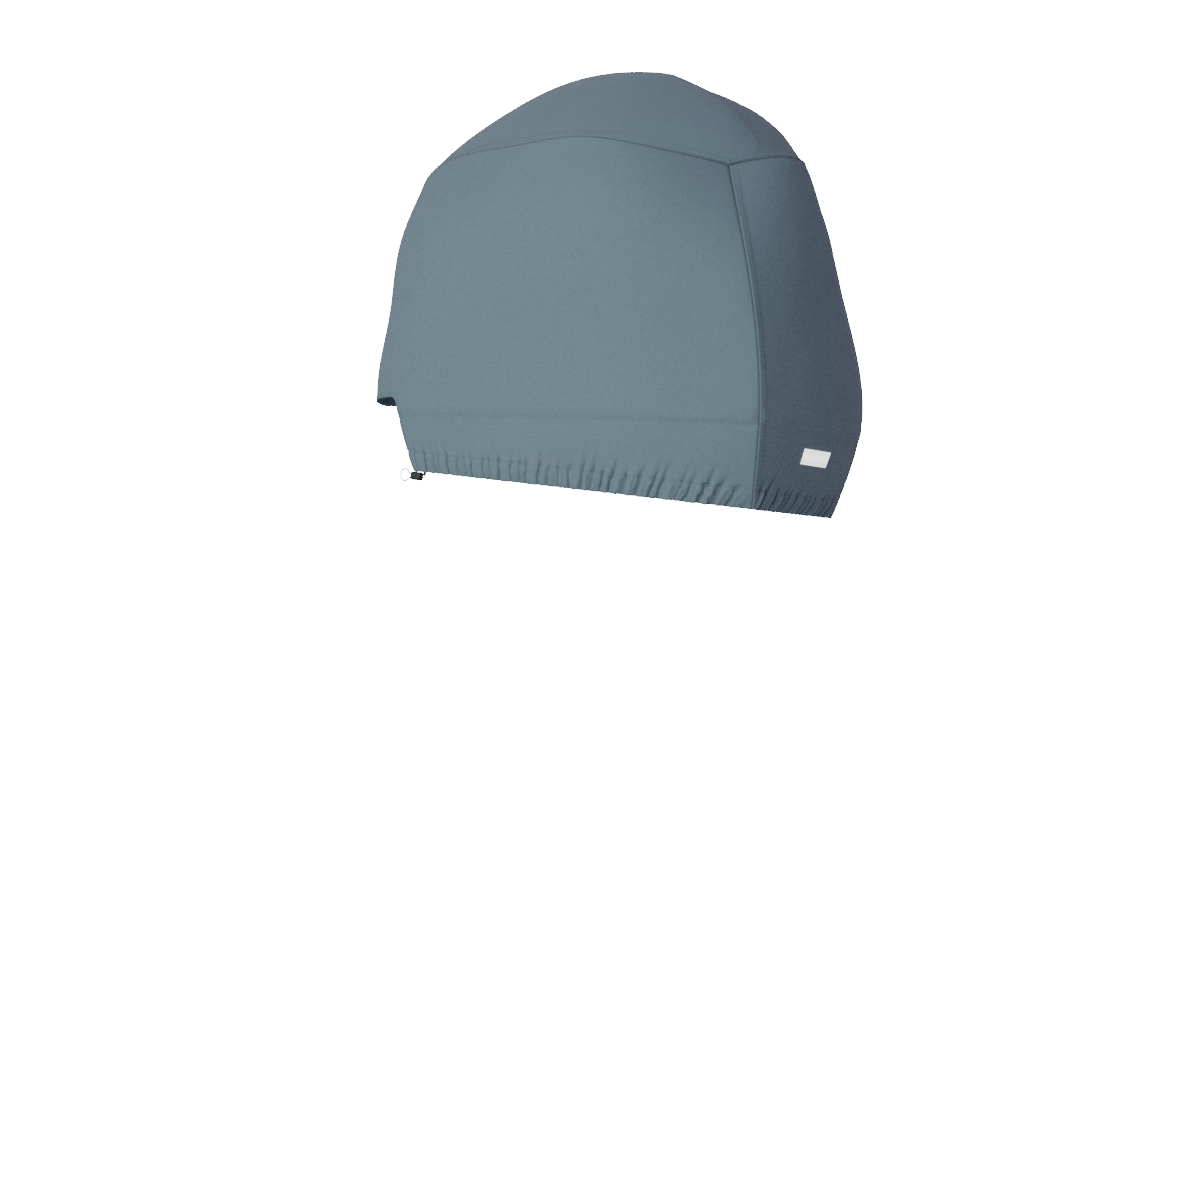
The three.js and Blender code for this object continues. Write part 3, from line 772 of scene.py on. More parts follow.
def stitch_rows(lines, pitch, size):
    """Stitches along each line of (points, normals): a copy of one stitch at every pitch, with x along the
    line and z along the cloth's normal. size is the stitch's length, width and height."""
    shape, triangles = stitch_shape(*(side * MM for side in size))
    all_points, all_faces, count = [], [], 0
    for points, normals in lines:
        place = even_run(points, pitch)
        index = np.minimum(place.astype(int), len(points) - 2)
        mix = (place - index)[:, None]
        at = points[index] * (1 - mix) + points[index + 1] * mix
        up = normals[index] * (1 - mix) + normals[index + 1] * mix
        ahead = unit(points[index + 1] - points[index])
        up = unit(up - ahead * np.sum(up * ahead, axis=1, keepdims=True))
        axes = np.stack([ahead, np.cross(up, ahead), up], axis=1)
        placed = at[:, None, :] + np.einsum("pk,nkc->npc", shape, axes)
        faces = triangles[None] + (np.arange(len(at)) * len(shape))[:, None, None] + count
        all_points.append(placed.reshape(-1, 3))
        all_faces.append(faces.reshape(-1, 3))
        count += len(at) * len(shape)
    return np.concatenate(all_points), np.concatenate(all_faces)


def line_on(panel, a, b, lift=0.15):
    """A line a little above a panel's cloth at the shares a, b, with its normals, in the part's frame."""
    points, _, _ = panel.cloth(a, b)
    _, normal, _, _ = metric(panel.surface, a, b)
    lifted = in_frame(points + normal * lift)
    return lifted, (in_frame(points + normal) - in_frame(points)) / MM


def beside_edge(panel, edge, distance, low, high):
    """Shares of a line that runs along an edge of the panel at a distance from it, from share low to high.
    The step is found from the metric at the edge, and twice more from where it led."""
    t = np.linspace(low, high, 260)
    end = np.full(len(t), float(edge[1]))
    inward = -1.0 if edge[1] == "1" else 1.0
    across = end.copy()
    for _ in range(3):
        a, b = (across, t) if edge[0] == "a" else (t, across)
        _, _, scale_a, scale_b = metric(panel.surface, a, b)
        scale = scale_a if edge[0] == "a" else scale_b
        across = end + inward * distance / scale
    return (across, t) if edge[0] == "a" else (t, across)


# Cord, lock and label

def lock_middle():
    """Middle of the lock, in the cowl's frame: just under the port hem behind the cut-out."""
    x, y = side_plan(0.0, LOCK_SHARE)
    return np.array([float(x), -float(y) + SHEET, -LOCK_HEIGHT / 2 - SEAM_GAP])


def cord_route():
    """The cord's points, in the cowl's frame: down out of the hem, forward through the lock, round the loop
    and back the same way."""
    middle = lock_middle()
    top = -middle[2] - SEAM_GAP
    back = LOCK_LENGTH / 2

    def strand(side):
        level = side * STRAND_SPREAD / 2
        loop = np.stack([-back - LOOP[:, 0], side * LOOP[:, 1]], -1)[::-1]
        straight = np.array([[-back, level], [0, level], [back, level]])
        turn_up = TURN_UP * [STRAND_REACH[side], top - level] + [back, level]
        return np.concatenate([loop, straight, turn_up])

    flat = np.concatenate([strand(1)[::-1], [[-back - LOOP_LENGTH, 0]], strand(-1)])
    return np.stack([middle[0] + flat[:, 0], np.full(len(flat), middle[1]), middle[2] + flat[:, 1]], -1)


def smooth_line(points, count):
    """Natural cubic splines of the coordinates against the running length of the points."""
    run = running_length(points)
    t = np.linspace(0, run[-1], count)
    return np.stack([natural_spline(run, points[:, k])(t) for k in range(3)], -1)


def tube(line, radius, sides):
    """Round tube along a line: a circle in the plane of the cowl's y axis and the line's own normal. UV is
    the running length and the turn, in metres."""
    ahead = unit(np.gradient(line, axis=0))
    side = unit(np.array([0.0, 1.0, 0.0]) - ahead * ahead[:, 1:2])
    up = np.cross(side, ahead)
    turn = np.linspace(0, 2 * np.pi, sides + 1)
    ring = (side[:, None] * np.cos(turn)[None, :, None] + up[:, None] * np.sin(turn)[None, :, None]) * radius
    points = line[:, None] + ring
    uv = np.stack(np.broadcast_arrays(running_length(line)[:, None], (turn * radius)[None, :]), -1)
    faces = grid_faces(len(line), sides + 1)[:, ::-1]
    return points.reshape(-1, 3), faces, uv.reshape(-1, 2)


def closed_tube(name, line, radius, sides=16):
    """The tube as an object: its lengthwise seam is merged and each end is one face. At the quads that wrap
    round the seam, the turn's UV goes on past a whole turn."""
    points, faces, uv = tube(line, radius, sides)
    caps = [np.arange(sides), (len(line) - 1) * (sides + 1) + np.arange(sides)[::-1]]
    faces = np.where(faces % (sides + 1) == sides, faces - sides, faces)
    used, renamed = np.unique(np.concatenate([faces.ravel(), *caps]), return_inverse=True)
    quads = renamed[:faces.size].reshape(-1, 4).tolist()
    ends = renamed[faces.size:].reshape(2, sides).tolist()
    mesh, corners = smooth_mesh(name, points[used], quads + ends)
    spread = uv[used][corners]
    quad = spread[:faces.size, 1].reshape(-1, 4)
    half_turn = np.pi * radius
    wraps = quad.max(axis=1) - quad.min(axis=1) > half_turn
    quad[wraps] = np.where(quad[wraps] < half_turn, quad[wraps] + 2 * half_turn, quad[wraps])
    spread[:faces.size, 1] = quad.ravel()
    put_uv(mesh, spread)
    mesh.update()
    return link_object(name, mesh)


def lock_body():
    """Barrel lock: a closed surface of the turn round its axis and a station. A station mixes the inner
    stadium of the cord's hole with the outer rounded rectangle, so that the stations run along the outside,
    round one end, back through the hole and round the other end."""
    turn = np.linspace(0, 2 * np.pi, 48, endpoint=False)
    c, s = np.cos(turn), np.sin(turn)
    power = 2 / 3.6
    outer = np.stack([np.sign(c) * np.abs(c) ** power * LOCK_WIDTH / 2,
                      np.sign(s) * np.abs(s) ** power * LOCK_HEIGHT / 2], -1)
    inner = np.stack([c * LOCK_HOLE / 2, s * LOCK_HOLE / 2 + np.sign(s) * STRAND_SPREAD / 2], -1)
    end = LOCK_LENGTH / 2
    outside = np.linspace(-end + 2.2, end - 2.2, 23)
    ribs = 1 - 0.05 * (0.5 + 0.5 * np.cos(2 * np.pi * outside / 2.6)) * (np.abs(outside) < end - 3.5)
    round_end = np.array([[1.2, 0.985], [0.5, 0.94], [0.12, 0.86], [0, 0.76],
                          [0, 0.3], [0.2, 0.12], [0.7, 0.02]])
    aft = np.stack([end - round_end[:, 0], round_end[:, 1]], -1)
    hole = np.stack([np.linspace(end - 1.5, -end + 1.5, 6), np.zeros(6)], -1)
    fore = (aft * [-1, 1])[::-1]
    stations = np.concatenate([np.stack([outside, ribs], -1), aft, hole, fore])
    across = inner[None] + (outer - inner)[None] * stations[:, 1, None, None]
    x = np.broadcast_to(stations[:, 0, None], across.shape[:2])
    points = np.stack([x, across[..., 0], across[..., 1]], -1)
    rows, columns = points.shape[:2]
    k = np.arange(rows * columns)
    r, q = k // columns, k % columns
    faces = np.stack([k, r * columns + (q + 1) % columns,
                      (r + 1) % rows * columns + (q + 1) % columns, (r + 1) % rows * columns + q], -1)
    return points.reshape(-1, 3), faces


def facing_out(points, faces):
    """The quads of a closed mesh, turned if the volume that they enclose comes out below zero."""
    a, b, c, d = (points[faces[:, k]] for k in range(4))
    volume = np.sum(a * np.cross(b, c)) + np.sum(a * np.cross(c, d))
    return faces[:, ::-1] if volume < 0 else faces


# Materials

def new_material(name):
    """Material with an empty node tree, a Principled BSDF and its output."""
    material = bpy.data.materials.new(name)
    material.use_nodes = True
    nodes = material.node_tree.nodes
    return material, nodes, material.node_tree.links, nodes["Principled BSDF"]


def node(tree, kind, **values):
    """New shader node. A value whose key starts with in_ goes to that input, any other is a property."""
    made = tree.nodes.new(kind)
    for key, value in values.items():
        if key.startswith("in_"):
            made.inputs[int(key[3:])].default_value = value
        else:
            setattr(made, key, value)
    return made


def maths(tree, operation, a, b=None, clamp=False):
    """Math node of two inputs, each a number or a socket. It gives its output socket."""
    made = tree.nodes.new("ShaderNodeMath")
    made.operation = operation
    made.use_clamp = clamp
    for socket, value in zip(made.inputs, (a, b)):
        if value is None:
            continue
        if isinstance(value, (int, float)):
            socket.default_value = value
        else:
            tree.links.new(value, socket)
    return made.outputs[0]


def uv_axes(tree):
    """The two coordinates of the piece's UV map, and the map itself."""
    uv = tree.nodes.new("ShaderNodeUVMap")
    split = tree.nodes.new("ShaderNodeSeparateXYZ")
    tree.links.new(uv.outputs[0], split.inputs[0])
    return split.outputs[0], split.outputs[1], uv.outputs[0]


def add_bump(tree, shader, height, strength, distance):
    """Bump on the shader from a height socket. The distance is in metres."""
    bump = tree.nodes.new("ShaderNodeBump")
    bump.inputs["Strength"].default_value = strength
    bump.inputs["Distance"].default_value = distance
    tree.links.new(height, bump.inputs["Height"])
    tree.links.new(bump.outputs[0], shader.inputs["Normal"])


def new_group(name, inputs, outputs):
    """Shader node group with float or colour sockets, and its input and output nodes."""
    tree = bpy.data.node_groups.new(name, "ShaderNodeTree")
    for label, value in inputs:
        kind = "NodeSocketFloat" if isinstance(value, (int, float)) else "NodeSocketColor"
        socket = tree.interface.new_socket(label, in_out="INPUT", socket_type=kind)
        socket.default_value = value
    for label, kind in outputs:
        tree.interface.new_socket(label, in_out="OUTPUT", socket_type=kind)
    return tree, tree.nodes.new("NodeGroupInput"), tree.nodes.new("NodeGroupOutput")


def weave_group():
    """Plain weave over the piece's UV map, in metres. Warp threads run up and weft threads across: each is
    the positive half of a sine across it, and they take turns over and under by a product of two sines. It
    gives the height of the threads, and a tone that differs from thread to thread."""
    tree, given, out = new_group(
        "plain_weave", [("Pitch", 0.001), ("Slub", 0.3)],
        [("Height", "NodeSocketFloat"), ("Tone", "NodeSocketFloat")])
    across, along, uv = uv_axes(tree)
    phase = [maths(tree, "MULTIPLY", maths(tree, "DIVIDE", axis, given.outputs["Pitch"]), math.pi)
             for axis in (across, along)]
    waves = [maths(tree, "SINE", p) for p in phase]
    ridges = [maths(tree, "ABSOLUTE", w) for w in waves]
    turns = maths(tree, "MULTIPLY", waves[0], waves[1])
    over = maths(tree, "ADD", maths(tree, "MULTIPLY", maths(tree, "SIGN", turns), 0.5), 0.5)
    warp = maths(tree, "MULTIPLY", ridges[0], over)
    weft = maths(tree, "MULTIPLY", ridges[1], maths(tree, "SUBTRACT", 1.0, over))
    height = maths(tree, "ADD", warp, weft)
    threads = []
    for stretch in ((900.0, 12.0, 1.0), (12.0, 900.0, 1.0)):
        place = node(tree, "ShaderNodeVectorMath", operation="MULTIPLY", in_1=stretch)
        tree.links.new(uv, place.inputs[0])
        noise = node(tree, "ShaderNodeTexNoise", in_2=1.0, in_3=1.0)
        tree.links.new(place.outputs[0], noise.inputs["Vector"])
        threads.append(noise.outputs[0])
    uneven_threads = maths(tree, "SUBTRACT", maths(tree, "ADD", *threads), 1.0)
    slub = maths(tree, "MULTIPLY", uneven_threads, given.outputs["Slub"])
    tree.links.new(maths(tree, "ADD", height, slub), out.inputs["Height"])
    tree.links.new(slub, out.inputs["Tone"])
    return tree


def wear_and_shade_group():
    """Weathering and painted shade over Object coordinates: a faded cloud, painted shade in the gathers'
    valleys and in the seams' grooves with fine dust from a grit noise, and lighter ridges with a light rub on
    the seams. It gives a fade, a mask of dust and painted shade, and a rub mask."""
    tree, given, out = new_group(
        "weathering_and_painted_shade", [("Cloud size", 4.0), ("Dust and painted shade", 0.5)],
        [("Fade", "NodeSocketFloat"), ("Dust and painted shade", "NodeSocketFloat"), ("Rub", "NodeSocketFloat")])
    place = tree.nodes.new("ShaderNodeTexCoord")
    cloud = node(tree, "ShaderNodeTexNoise", in_3=3.0)
    tree.links.new(given.outputs["Cloud size"], cloud.inputs["Scale"])
    tree.links.new(place.outputs["Object"], cloud.inputs["Vector"])
    grit = node(tree, "ShaderNodeTexNoise", in_2=90.0, in_3=4.0)
    tree.links.new(place.outputs["Object"], grit.inputs["Vector"])
    fold = node(tree, "ShaderNodeAttribute", attribute_name="fold")
    seam = node(tree, "ShaderNodeAttribute", attribute_name="seam")
    # painted shade: darker in the gathers' valleys (fold below zero) and in the seams' grooves (seam
    # nearness); the grit noise adds real dust
    valley = maths(tree, "MULTIPLY", fold.outputs["Fac"], -0.8, clamp=True)
    groove = maths(tree, "MULTIPLY", maths(tree, "POWER", seam.outputs["Fac"], 2.5), 0.95)
    dark = maths(tree, "MAXIMUM", valley, groove)
    dust_and_shade = maths(tree, "MULTIPLY", maths(tree, "ADD", dark, maths(tree, "MULTIPLY", grit.outputs[0], 0.25)),
                 given.outputs["Dust and painted shade"])
    ridge = maths(tree, "MULTIPLY", fold.outputs["Fac"], 0.16, clamp=True)
    worn = maths(tree, "MULTIPLY", seam.outputs["Fac"], 0.25)
    rub = maths(tree, "MULTIPLY", maths(tree, "ADD", ridge, worn), grit.outputs[0])
    tree.links.new(cloud.outputs[0], out.inputs["Fade"])
    tree.links.new(dust_and_shade, out.inputs["Dust and painted shade"])
    tree.links.new(rub, out.inputs["Rub"])
    return tree


def mixed(tree, share, a, b):
    """Mix of two colours, each a colour or a socket, by a share that is a socket."""
    made = node(tree, "ShaderNodeMix", data_type="RGBA")
    tree.links.new(share, made.inputs["Factor"])
    for socket, value in ((made.inputs[6], a), (made.inputs[7], b)):
        if isinstance(value, bpy.types.NodeSocket):
            tree.links.new(value, socket)
        else:
            socket.default_value = value
    return made.outputs[2]


def shade(colour, gain, tint=(1, 1, 1)):
    """The colour with its light scaled by a gain and a tint, as four numbers."""
    return tuple(c * gain * t for c, t in zip(colour, tint)) + (1.0,)


def canvas_material():
    """Woven marine canvas: plain weave, a faint cloud of fading, painted shade in the gathers' valleys and
    the seams' grooves with some fine dust, and lighter ridges.
    """
    if "marine_canvas" in bpy.data.materials:
        return bpy.data.materials["marine_canvas"]
    cloth = bpy.context.scene.cover_cloth
    material, _, links, shader = new_material("marine_canvas")
    tree = material.node_tree
    weave = node(tree, "ShaderNodeGroup", node_tree=weave_group(), in_0=cloth.thread_pitch, in_1=0.35)
    wear_and_shade = node(tree, "ShaderNodeGroup", node_tree=wear_and_shade_group(), in_0=5.0, in_1=0.7)
    base = tuple(cloth.colour)
    tone = mixed(tree, wear_and_shade.outputs["Fade"], shade(base, 0.93), shade(base, 1.07))
    thread = maths(tree, "ADD", maths(tree, "MULTIPLY", weave.outputs["Height"], 0.5),
                   maths(tree, "MULTIPLY", weave.outputs["Tone"], 0.6), clamp=True)
    threads = node(tree, "ShaderNodeMix", data_type="RGBA", blend_type="MULTIPLY", in_0=1.0)
    links.new(tone, threads.inputs[6])
    links.new(mixed(tree, thread, (0.82, 0.83, 0.84, 1), (1.1, 1.1, 1.1, 1)), threads.inputs[7])
    # painted shade: the canvas darkens towards 0.55 of its colour in the gathers' valleys and the seams'
    # grooves, along with fine dust from the grit noise
    dusty_and_shaded = mixed(tree, wear_and_shade.outputs["Dust and painted shade"], threads.outputs[2], shade(base, 0.55))
    rubbed = mixed(tree, maths(tree, "MULTIPLY", wear_and_shade.outputs["Rub"], 0.35, clamp=True),
                   dusty_and_shaded, shade(base, 1.45, (1, 0.98, 0.97)))
    links.new(rubbed, shader.inputs["Base Color"])
    rough = maths(tree, "ADD", maths(tree, "MULTIPLY", wear_and_shade.outputs["Fade"], 0.12), 0.74)
    links.new(rough, shader.inputs["Roughness"])
    shader.inputs["Sheen Weight"].default_value = 0.12
    shader.inputs["Sheen Roughness"].default_value = 0.5
    shader.inputs["Specular IOR Level"].default_value = 0.3
    add_bump(tree, shader, weave.outputs["Height"], 0.35, 0.0003)
    return material


def thread_material(name, colour):
    """Twisted thread: fine slanted bands in Object coordinates."""
    if name in bpy.data.materials:
        return bpy.data.materials[name]
    material, nodes, links, shader = new_material(name)
    tree = material.node_tree
    place = nodes.new("ShaderNodeTexCoord")
    twist = node(tree, "ShaderNodeTexWave", bands_direction="DIAGONAL", in_1=900.0, in_2=0.4)
    links.new(place.outputs["Object"], twist.inputs["Vector"])
    bands = twist.outputs["Fac"]
    links.new(mixed(tree, bands, shade(colour, 0.75), shade(colour, 1.2)), shader.inputs["Base Color"])
    shader.inputs["Roughness"].default_value = 0.6
    add_bump(tree, shader, bands, 0.3, 0.0001)
    return material


def braid_material():
    """Braided cord over its UV map: two sets of slanted strands that cross; the colour follows the strands'
    height, with painted shade in the grooves and a painted highlight on the crests.
    """
    colour = tuple(bpy.context.scene.cover_cord.cord_colour)
    material, _, links, shader = new_material("braided_cord")
    tree = material.node_tree
    along, round_it, _ = uv_axes(tree)
    strands = []
    for sign in (1.0, -1.0):
        lean = maths(tree, "ADD", along, maths(tree, "MULTIPLY", round_it, sign))
        strands.append(maths(tree, "ABSOLUTE", maths(tree, "SINE", maths(tree, "MULTIPLY", lean, 2667.0))))
    height = maths(tree, "MAXIMUM", *strands)
    # painted shade and highlight: 0.5 of the cord's colour in the grooves between strands, 2.4 on their
    # crests
    links.new(mixed(tree, height, shade(colour, 0.5), shade(colour, 2.4)), shader.inputs["Base Color"])
    shader.inputs["Roughness"].default_value = 0.62
    add_bump(tree, shader, height, 0.6, 0.0003)
    return material


def moulded_material():
    """Black moulded plastic with a fine grain and lighter rubbed patches."""
    material, nodes, links, shader = new_material("moulded_black")
    tree = material.node_tree
    place = nodes.new("ShaderNodeTexCoord")
    grain = node(tree, "ShaderNodeTexNoise", in_2=2600.0, in_3=2.0)
    rub = node(tree, "ShaderNodeTexNoise", in_2=120.0, in_3=3.0)
    for texture in (grain, rub):
        links.new(place.outputs["Object"], texture.inputs["Vector"])
    links.new(mixed(tree, rub.outputs[0], (0.008, 0.009, 0.01, 1), (0.022, 0.023, 0.025, 1)),
              shader.inputs["Base Color"])
    rough = maths(tree, "ADD", maths(tree, "MULTIPLY", rub.outputs[0], 0.25), 0.33)
    links.new(rough, shader.inputs["Roughness"])
    add_bump(tree, shader, grain.outputs[0], 0.2, 0.0001)
    return material


def label_material():
    """Woven label over its UV map: fine ribs across, and a plain grey line near its top and its bottom. It
    also glows with its own colours, a painted light.
    """
    colour = tuple(bpy.context.scene.cover_cord.label_colour)
    material, _, links, shader = new_material("woven_label")
    tree = material.node_tree
    _, up, _ = uv_axes(tree)
    off_middle = maths(tree, "ABSOLUTE", maths(tree, "SUBTRACT", up, 0.5))
    line = maths(tree, "LESS_THAN", maths(tree, "ABSOLUTE", maths(tree, "SUBTRACT", off_middle, 0.3)), 0.02)
    ribs = maths(tree, "ABSOLUTE", maths(tree, "SINE", maths(tree, "MULTIPLY", up, 140.0)))
    white = mixed(tree, ribs, shade(colour, 0.86), shade(colour, 1.0))
    woven = mixed(tree, line, white, (0.42, 0.44, 0.46, 1))
    links.new(woven, shader.inputs["Base Color"])
    links.new(woven, shader.inputs["Emission Color"])
    shader.inputs["Emission Strength"].default_value = 2.2  # painted light: the label glows so that it reads near white on the shaded rear panel
    shader.inputs["Roughness"].default_value = 0.6
    add_bump(tree, shader, ribs, 0.3, 0.0002)
    return material


def dress(piece, material, node_name=None):
    """A material on a piece, which rides on the root body and may stand for a node."""
    piece.data.materials.append(material)
    if node_name:
        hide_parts(node_name)
    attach(piece, "root")


def add_cloth(stem, grid, panel):
    """A panel's cloth in canvas, which stands for its node."""
    piece = grid(f"{stem}_cloth", PANELS[panel])
    dress(piece, canvas_material(), f"{stem}_panel")


class COVER_OT_top_panel(bpy.types.Operator):
    """Domed top panel, which the cowl carries on its crown"""

    bl_idname = "cover.top_panel"
    bl_label = "Top panel"

    def execute(self, context):
        add_cloth("top", top_cloth, "top")
        return {"FINISHED"}


class COVER_OT_side_panels(bpy.types.Operator):
    """Two side panels that wrap the front corners, with the cut-out's turned edge and the gathered casing"""

    bl_idname = "cover.side_panels"
    bl_label = "Side panels"

    def execute(self, context):
        for side in ("port", "starboard"):
            add_cloth(f"{side}_side", side_cloth, side)
        return {"FINISHED"}


class COVER_OT_rear_panel(bpy.types.Operator):
    """Rear panel with its gathered casing"""

    bl_idname = "cover.rear_panel"
    bl_label = "Rear panel"

    def execute(self, context):
        add_cloth("rear", rear_cloth, "rear")
        return {"FINISHED"}


class COVER_OT_front_panel(bpy.types.Operator):
    """Short front panel above the cut-out"""

    bl_idname = "cover.front_panel"
    bl_label = "Front panel"

    def execute(self, context):
        add_cloth("front", front_cloth, "front")
        return {"FINISHED"}


class COVER_OT_stitching(bpy.types.Operator):
    """Rows of stitches beside the seams, above the casing and round the cut-out"""

    bl_idname = "cover.stitching"
    bl_label = "Stitching"

    def execute(self, context):
        cloth = context.scene.cover_cloth
        width = cloth.felled_width / MM
        seams = []
        for name in ("top", "rear", "front"):
            low = CUT_V if name == "front" else 0.03
            for edge in PANELS[name].felled:
                for distance in (SEAM_ROW, width - THREAD_INSET):
                    a, b = beside_edge(PANELS[name], edge, distance, low, 0.99)
                    seams.append(line_on(PANELS[name], a, b))
        hems = []
        side_ends = (CUT_SHARE + 0.008, 0.995)
        for name, ends in (("port", side_ends), ("starboard", side_ends), ("rear", (0.01, 0.99))):
            a = np.linspace(*ends, 1400)
            for height in (CASING_HEIGHT, THREAD_INSET):
                hems.append(line_on(PANELS[name], a, height / PANELS[name].tuck(a) * TUCK_V))
        for name in ("port", "starboard"):
            hems.append(line_on(PANELS[name], *cut_out_line(HEM_BAND - THREAD_INSET)))
        a = np.linspace(0.02, 0.98, 200)
        step = (HEM_BAND - THREAD_INSET) / STITCH_SCALE[1]
        hems.append(line_on(PANELS["front"], a, np.full_like(a, CUT_V + step)))
        for name, lines in (("seam_stitching", seams), ("hem_stitching", hems)):
            points, faces = stitch_rows(lines, cloth.stitch_pitch, CLOTH_STITCH)
            thread = thread_material("sewing_thread", shade(cloth.colour, 0.8)[:3])
            dress(put_mesh(name, points, faces), thread)
        return {"FINISHED"}


def cut_out_line(inset):
    """Shares of a line on a side at an inset from the cut-out: up its aft edge, round the corner and forward
    along its top edge, at a radius that is larger by the inset."""
    scale_s, scale_v = STITCH_SCALE
    radius = CUT_RADIUS + inset
    turn = np.linspace(0, np.pi / 2, 40)
    corner_s = CUT_SHARE - CUT_RADIUS / scale_s + radius / scale_s * np.cos(turn)
    corner_v = CUT_V - CUT_RADIUS / scale_v + radius / scale_v * np.sin(turn)
    rise = np.linspace(0.07, corner_v[0], 160)[:-1]
    run = np.linspace(corner_s[-1], 0.012, 60)[1:]
    s = np.concatenate([np.full_like(rise, corner_s[0]), corner_s, run])
    v = np.concatenate([rise, corner_v, np.full_like(run, corner_v[-1])])
    return s, v


def label_place(across, up):
    """The rear panel's shares at a place on the label, from -1/2 to 1/2 across it and up it."""
    share = 0.5 + (LABEL_ACROSS + across * LABEL_WIDTH) / (2 * float(seam_half(TUCK_V)))
    return share, (LABEL_UP + up * LABEL_HEIGHT) / TUCK_HEIGHT[1] * TUCK_V


class COVER_OT_label(bpy.types.Operator):
    """Plain woven label on the rear panel, sewn down round its edge"""

    bl_idname = "cover.label"
    bl_label = "Label"

    def execute(self, context):
        across, up = np.meshgrid(np.linspace(-0.5, 0.5, 80), np.linspace(-0.5, 0.5, 24))
        share, level = label_place(across, up)
        rear = PANELS["rear"]
        cloth, _, _ = rear.cloth(share, level)
        _, normal, _, _ = metric(rear.surface, share, level)
        from_end = (0.5 - np.abs(across)) * LABEL_WIDTH
        edge = np.minimum(from_end, (0.5 - np.abs(up)) * LABEL_HEIGHT)
        fold = LABEL_FOLD * smooth((LABEL_END - from_end) / 0.8)
        sewn = -LABEL_DENT * bell(edge - LABEL_ROW, 0.7)
        lift = LABEL_LIFT + fold + sewn - LABEL_RIM * (1 - smooth(edge / 0.8))
        points = in_frame(cloth + normal * lift[..., None]).reshape(-1, 3)
        uv = np.stack([across + 0.5, up + 0.5], -1).reshape(-1, 2)
        faces = face_outward(points, grid_faces(*across.shape))
        piece = put_mesh("label_cloth", points, faces, uv)
        add_wall(piece, "label_thickness", LABEL_THICKNESS * MM)
        dress(piece, label_material(), "label")
        t = np.linspace(0, 1, 60)
        w, h = 0.5 - LABEL_ROW / LABEL_WIDTH, 0.5 - LABEL_ROW / LABEL_HEIGHT
        corners = [(-w, -h), (w, -h), (w, h), (-w, h), (-w, -h)]
        lines = []
        for (x0, y0), (x1, y1) in zip(corners, corners[1:]):
            a, b = label_place(x0 + (x1 - x0) * t, y0 + (y1 - y0) * t)
            lines.append(line_on(rear, a, b, LABEL_LIFT - 0.1))
        points, faces = stitch_rows(lines, LABEL_PITCH * MM, LABEL_STITCH)
        thread = thread_material("label_thread", (0.5, 0.51, 0.5))
        dress(put_mesh("label_stitching", points, faces), thread)
        return {"FINISHED"}


class COVER_OT_drawcord(bpy.types.Operator):
    """The drawcord's loop below the port hem: out of the casing, through the lock and back"""

    bl_idname = "cover.drawcord"
    bl_label = "Drawcord"

    def execute(self, context):
        line = in_frame(smooth_line(cord_route(), 240))
        diameter = context.scene.cover_cord.cord_diameter
        piece = closed_tube("drawcord_braid", line, diameter / 2)
        dress(piece, braid_material(), "drawcord")
        return {"FINISHED"}


class COVER_OT_cord_lock(bpy.types.Operator):
    """Barrel lock that grips both strands of the drawcord"""

    bl_idname = "cover.cord_lock"
    bl_label = "Cord lock"

    def execute(self, context):
        points, faces = lock_body()
        points = in_frame(points + lock_middle())
        piece = put_mesh("cord_lock_body", points, facing_out(points, faces))
        dress(piece, moulded_material(), "cord_lock")
        return {"FINISHED"}


class COVER_OT_stage(bpy.types.Operator):
    """Pale floor, soft light and the camera at the photograph's angle"""

    bl_idname = "cover.stage"
    bl_label = "Floor, light and camera"

    def execute(self, context):
        add_camera()
        add_floor(context.scene.cover_stage.floor_drop)
        add_light(context.scene.cover_stage)
        return {"FINISHED"}


# Stage

CAMERA_AZIMUTH, CAMERA_RISE = math.radians(30.0), math.radians(-1.3)
CAMERA_DISTANCE, CAMERA_LENS = 4.5, 76.5
CAMERA_TARGET = (-0.0519, 0.0, -0.9198)
SEEN_WHITE = 40.0  # the studio's white, as the camera sees its room and floor
FLOOR_REACH = 60.0
KEY_TARGET, KEY_TOWARDS = (0, 0, -0.4), (0.03, -1.0, 0.04)
KEY_SIZE, KEY_DISTANCE = 2.6, 3.6
KEY_COLOUR = (1.0, 0.98, 0.95)
AFT = (0.9, 0.25, 0.35)  # towards here the room light takes its aft colour
AHEAD_COLOUR, AFT_COLOUR = (1.1, 1.24, 1.48, 1), (0.92, 0.76, 0.94, 1)
FLOOR_COLOUR = (0.65, 0.65, 0.64, 1)


def add_camera():
    """Camera aft of the port beam, a little below the level of what it looks at."""
    back = Vector((math.sin(CAMERA_AZIMUTH) * math.cos(CAMERA_RISE),
                   -math.cos(CAMERA_AZIMUTH) * math.cos(CAMERA_RISE), math.sin(CAMERA_RISE)))
    data = bpy.data.cameras.new("camera")
    data.lens = CAMERA_LENS
    data.sensor_width = 36
    data.clip_end = 200
    camera = link_object("camera", data)
    camera.location = Vector(CAMERA_TARGET) + back * CAMERA_DISTANCE
    camera.rotation_euler = back.to_track_quat("Z", "Y").to_euler()
    bpy.context.scene.camera = camera


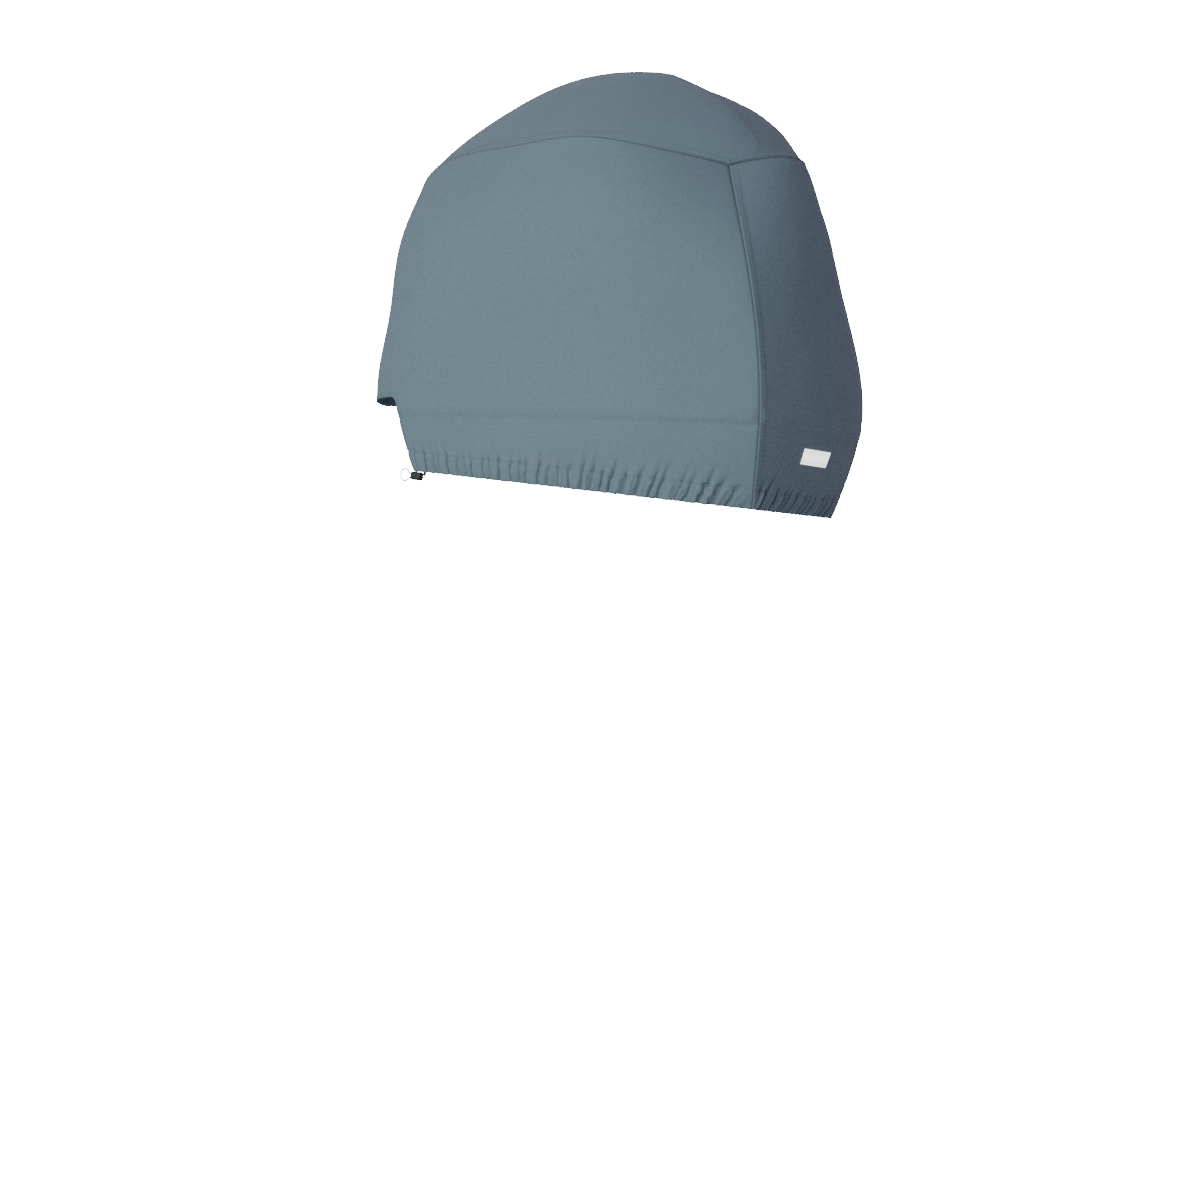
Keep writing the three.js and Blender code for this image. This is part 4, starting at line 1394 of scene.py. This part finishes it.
def choose(tree, lit, seen, out):
    """Into the output goes the one shader for the light and the other for what the camera sees."""
    path = tree.nodes.new("ShaderNodeLightPath")
    choice = tree.nodes.new("ShaderNodeMixShader")
    sources = (path.outputs["Is Camera Ray"], lit.outputs[0], seen.outputs[0])
    for source, socket in zip(sources, choice.inputs):
        tree.links.new(source, socket)
    tree.links.new(choice.outputs[0], out.inputs[0])


def add_floor(drop):
    """A wide pale floor, which the camera sees as the studio's white."""
    corners = np.array([[-1, -1, 0], [1, -1, 0], [1, 1, 0], [-1, 1, 0]]) * FLOOR_REACH - [0, 0, drop]
    floor = put_mesh("floor", corners, np.array([[0, 1, 2, 3]]))
    material, nodes, _, shader = new_material("pale_floor")
    shader.inputs["Base Color"].default_value = FLOOR_COLOUR
    shader.inputs["Roughness"].default_value = 0.95
    glow = node(material.node_tree, "ShaderNodeEmission", in_1=SEEN_WHITE)
    choose(material.node_tree, shader, glow, nodes["Material Output"])
    floor.data.materials.append(material)


def add_light(stage):
    """Room light that is cooler and stronger from ahead than from aft, white where the camera sees it, and a
    large soft key from the port beam."""
    world = bpy.data.worlds.new("studio")
    world.use_nodes = True
    tree = world.node_tree
    tree.nodes.clear()
    room = node(tree, "ShaderNodeBackground", in_1=stage.daylight)
    place = tree.nodes.new("ShaderNodeTexCoord")
    aft = node(tree, "ShaderNodeVectorMath", operation="DOT_PRODUCT", in_1=AFT)
    tree.links.new(place.outputs["Generated"], aft.inputs[0])
    share = maths(tree, "ADD", maths(tree, "MULTIPLY", aft.outputs["Value"], 0.5), 0.5, clamp=True)
    tree.links.new(mixed(tree, share, AHEAD_COLOUR, AFT_COLOUR), room.inputs[0])
    seen = node(tree, "ShaderNodeBackground", in_0=(1, 1, 1, 1), in_1=SEEN_WHITE)
    choose(tree, room, seen, tree.nodes.new("ShaderNodeOutputWorld"))
    bpy.context.scene.world = world
    data = bpy.data.lights.new("key", "AREA")
    data.shape = "DISK"
    data.size = KEY_SIZE
    data.energy = stage.key
    data.color = KEY_COLOUR
    key = link_object("key", data)
    towards = Vector(KEY_TOWARDS).normalized()
    key.location = Vector(KEY_TARGET) + towards * KEY_DISTANCE
    key.rotation_euler = towards.to_track_quat("Z", "Y").to_euler()


class COVER_PT_panel(bpy.types.Panel):
    """Lists the cover's settings and operators"""

    bl_label = "Motor cover"
    bl_space_type = "VIEW_3D"
    bl_region_type = "UI"
    bl_category = "Motor cover"

    def draw(self, context):
        for settings in (context.scene.cover_cloth, context.scene.cover_cord, context.scene.cover_stage):
            box = self.layout.box()
            for key in settings.bl_rna.properties.keys():
                if key not in ("rna_type", "name"):
                    box.prop(settings, key)
        for operator in OPERATORS:
            self.layout.operator(operator.bl_idname)


OPERATORS = (
    COVER_OT_stage,
    COVER_OT_cord_lock,
    COVER_OT_drawcord,
    COVER_OT_top_panel,
    COVER_OT_side_panels,
    COVER_OT_rear_panel,
    COVER_OT_front_panel,
    COVER_OT_stitching,
    COVER_OT_label,
)
SETTINGS = {
    "cover_cloth": CoverClothSettings,
    "cover_cord": CoverCordSettings,
    "cover_stage": CoverStageSettings,
}


def register():
    for group in SETTINGS.values():
        bpy.utils.register_class(group)
    for key, group in SETTINGS.items():
        setattr(bpy.types.Scene, key, PointerProperty(type=group))
    for item in (*OPERATORS, COVER_PT_panel):
        bpy.utils.register_class(item)


def unregister():
    for item in (COVER_PT_panel, *reversed(OPERATORS)):
        bpy.utils.unregister_class(item)
    for key in SETTINGS:
        delattr(bpy.types.Scene, key)
    for group in reversed(SETTINGS.values()):
        bpy.utils.unregister_class(group)


def main():
    register()
    for operator in OPERATORS:
        space, name = operator.bl_idname.split(".")
        getattr(getattr(bpy.ops, space), name)()


if __name__ == "__main__":
    main()
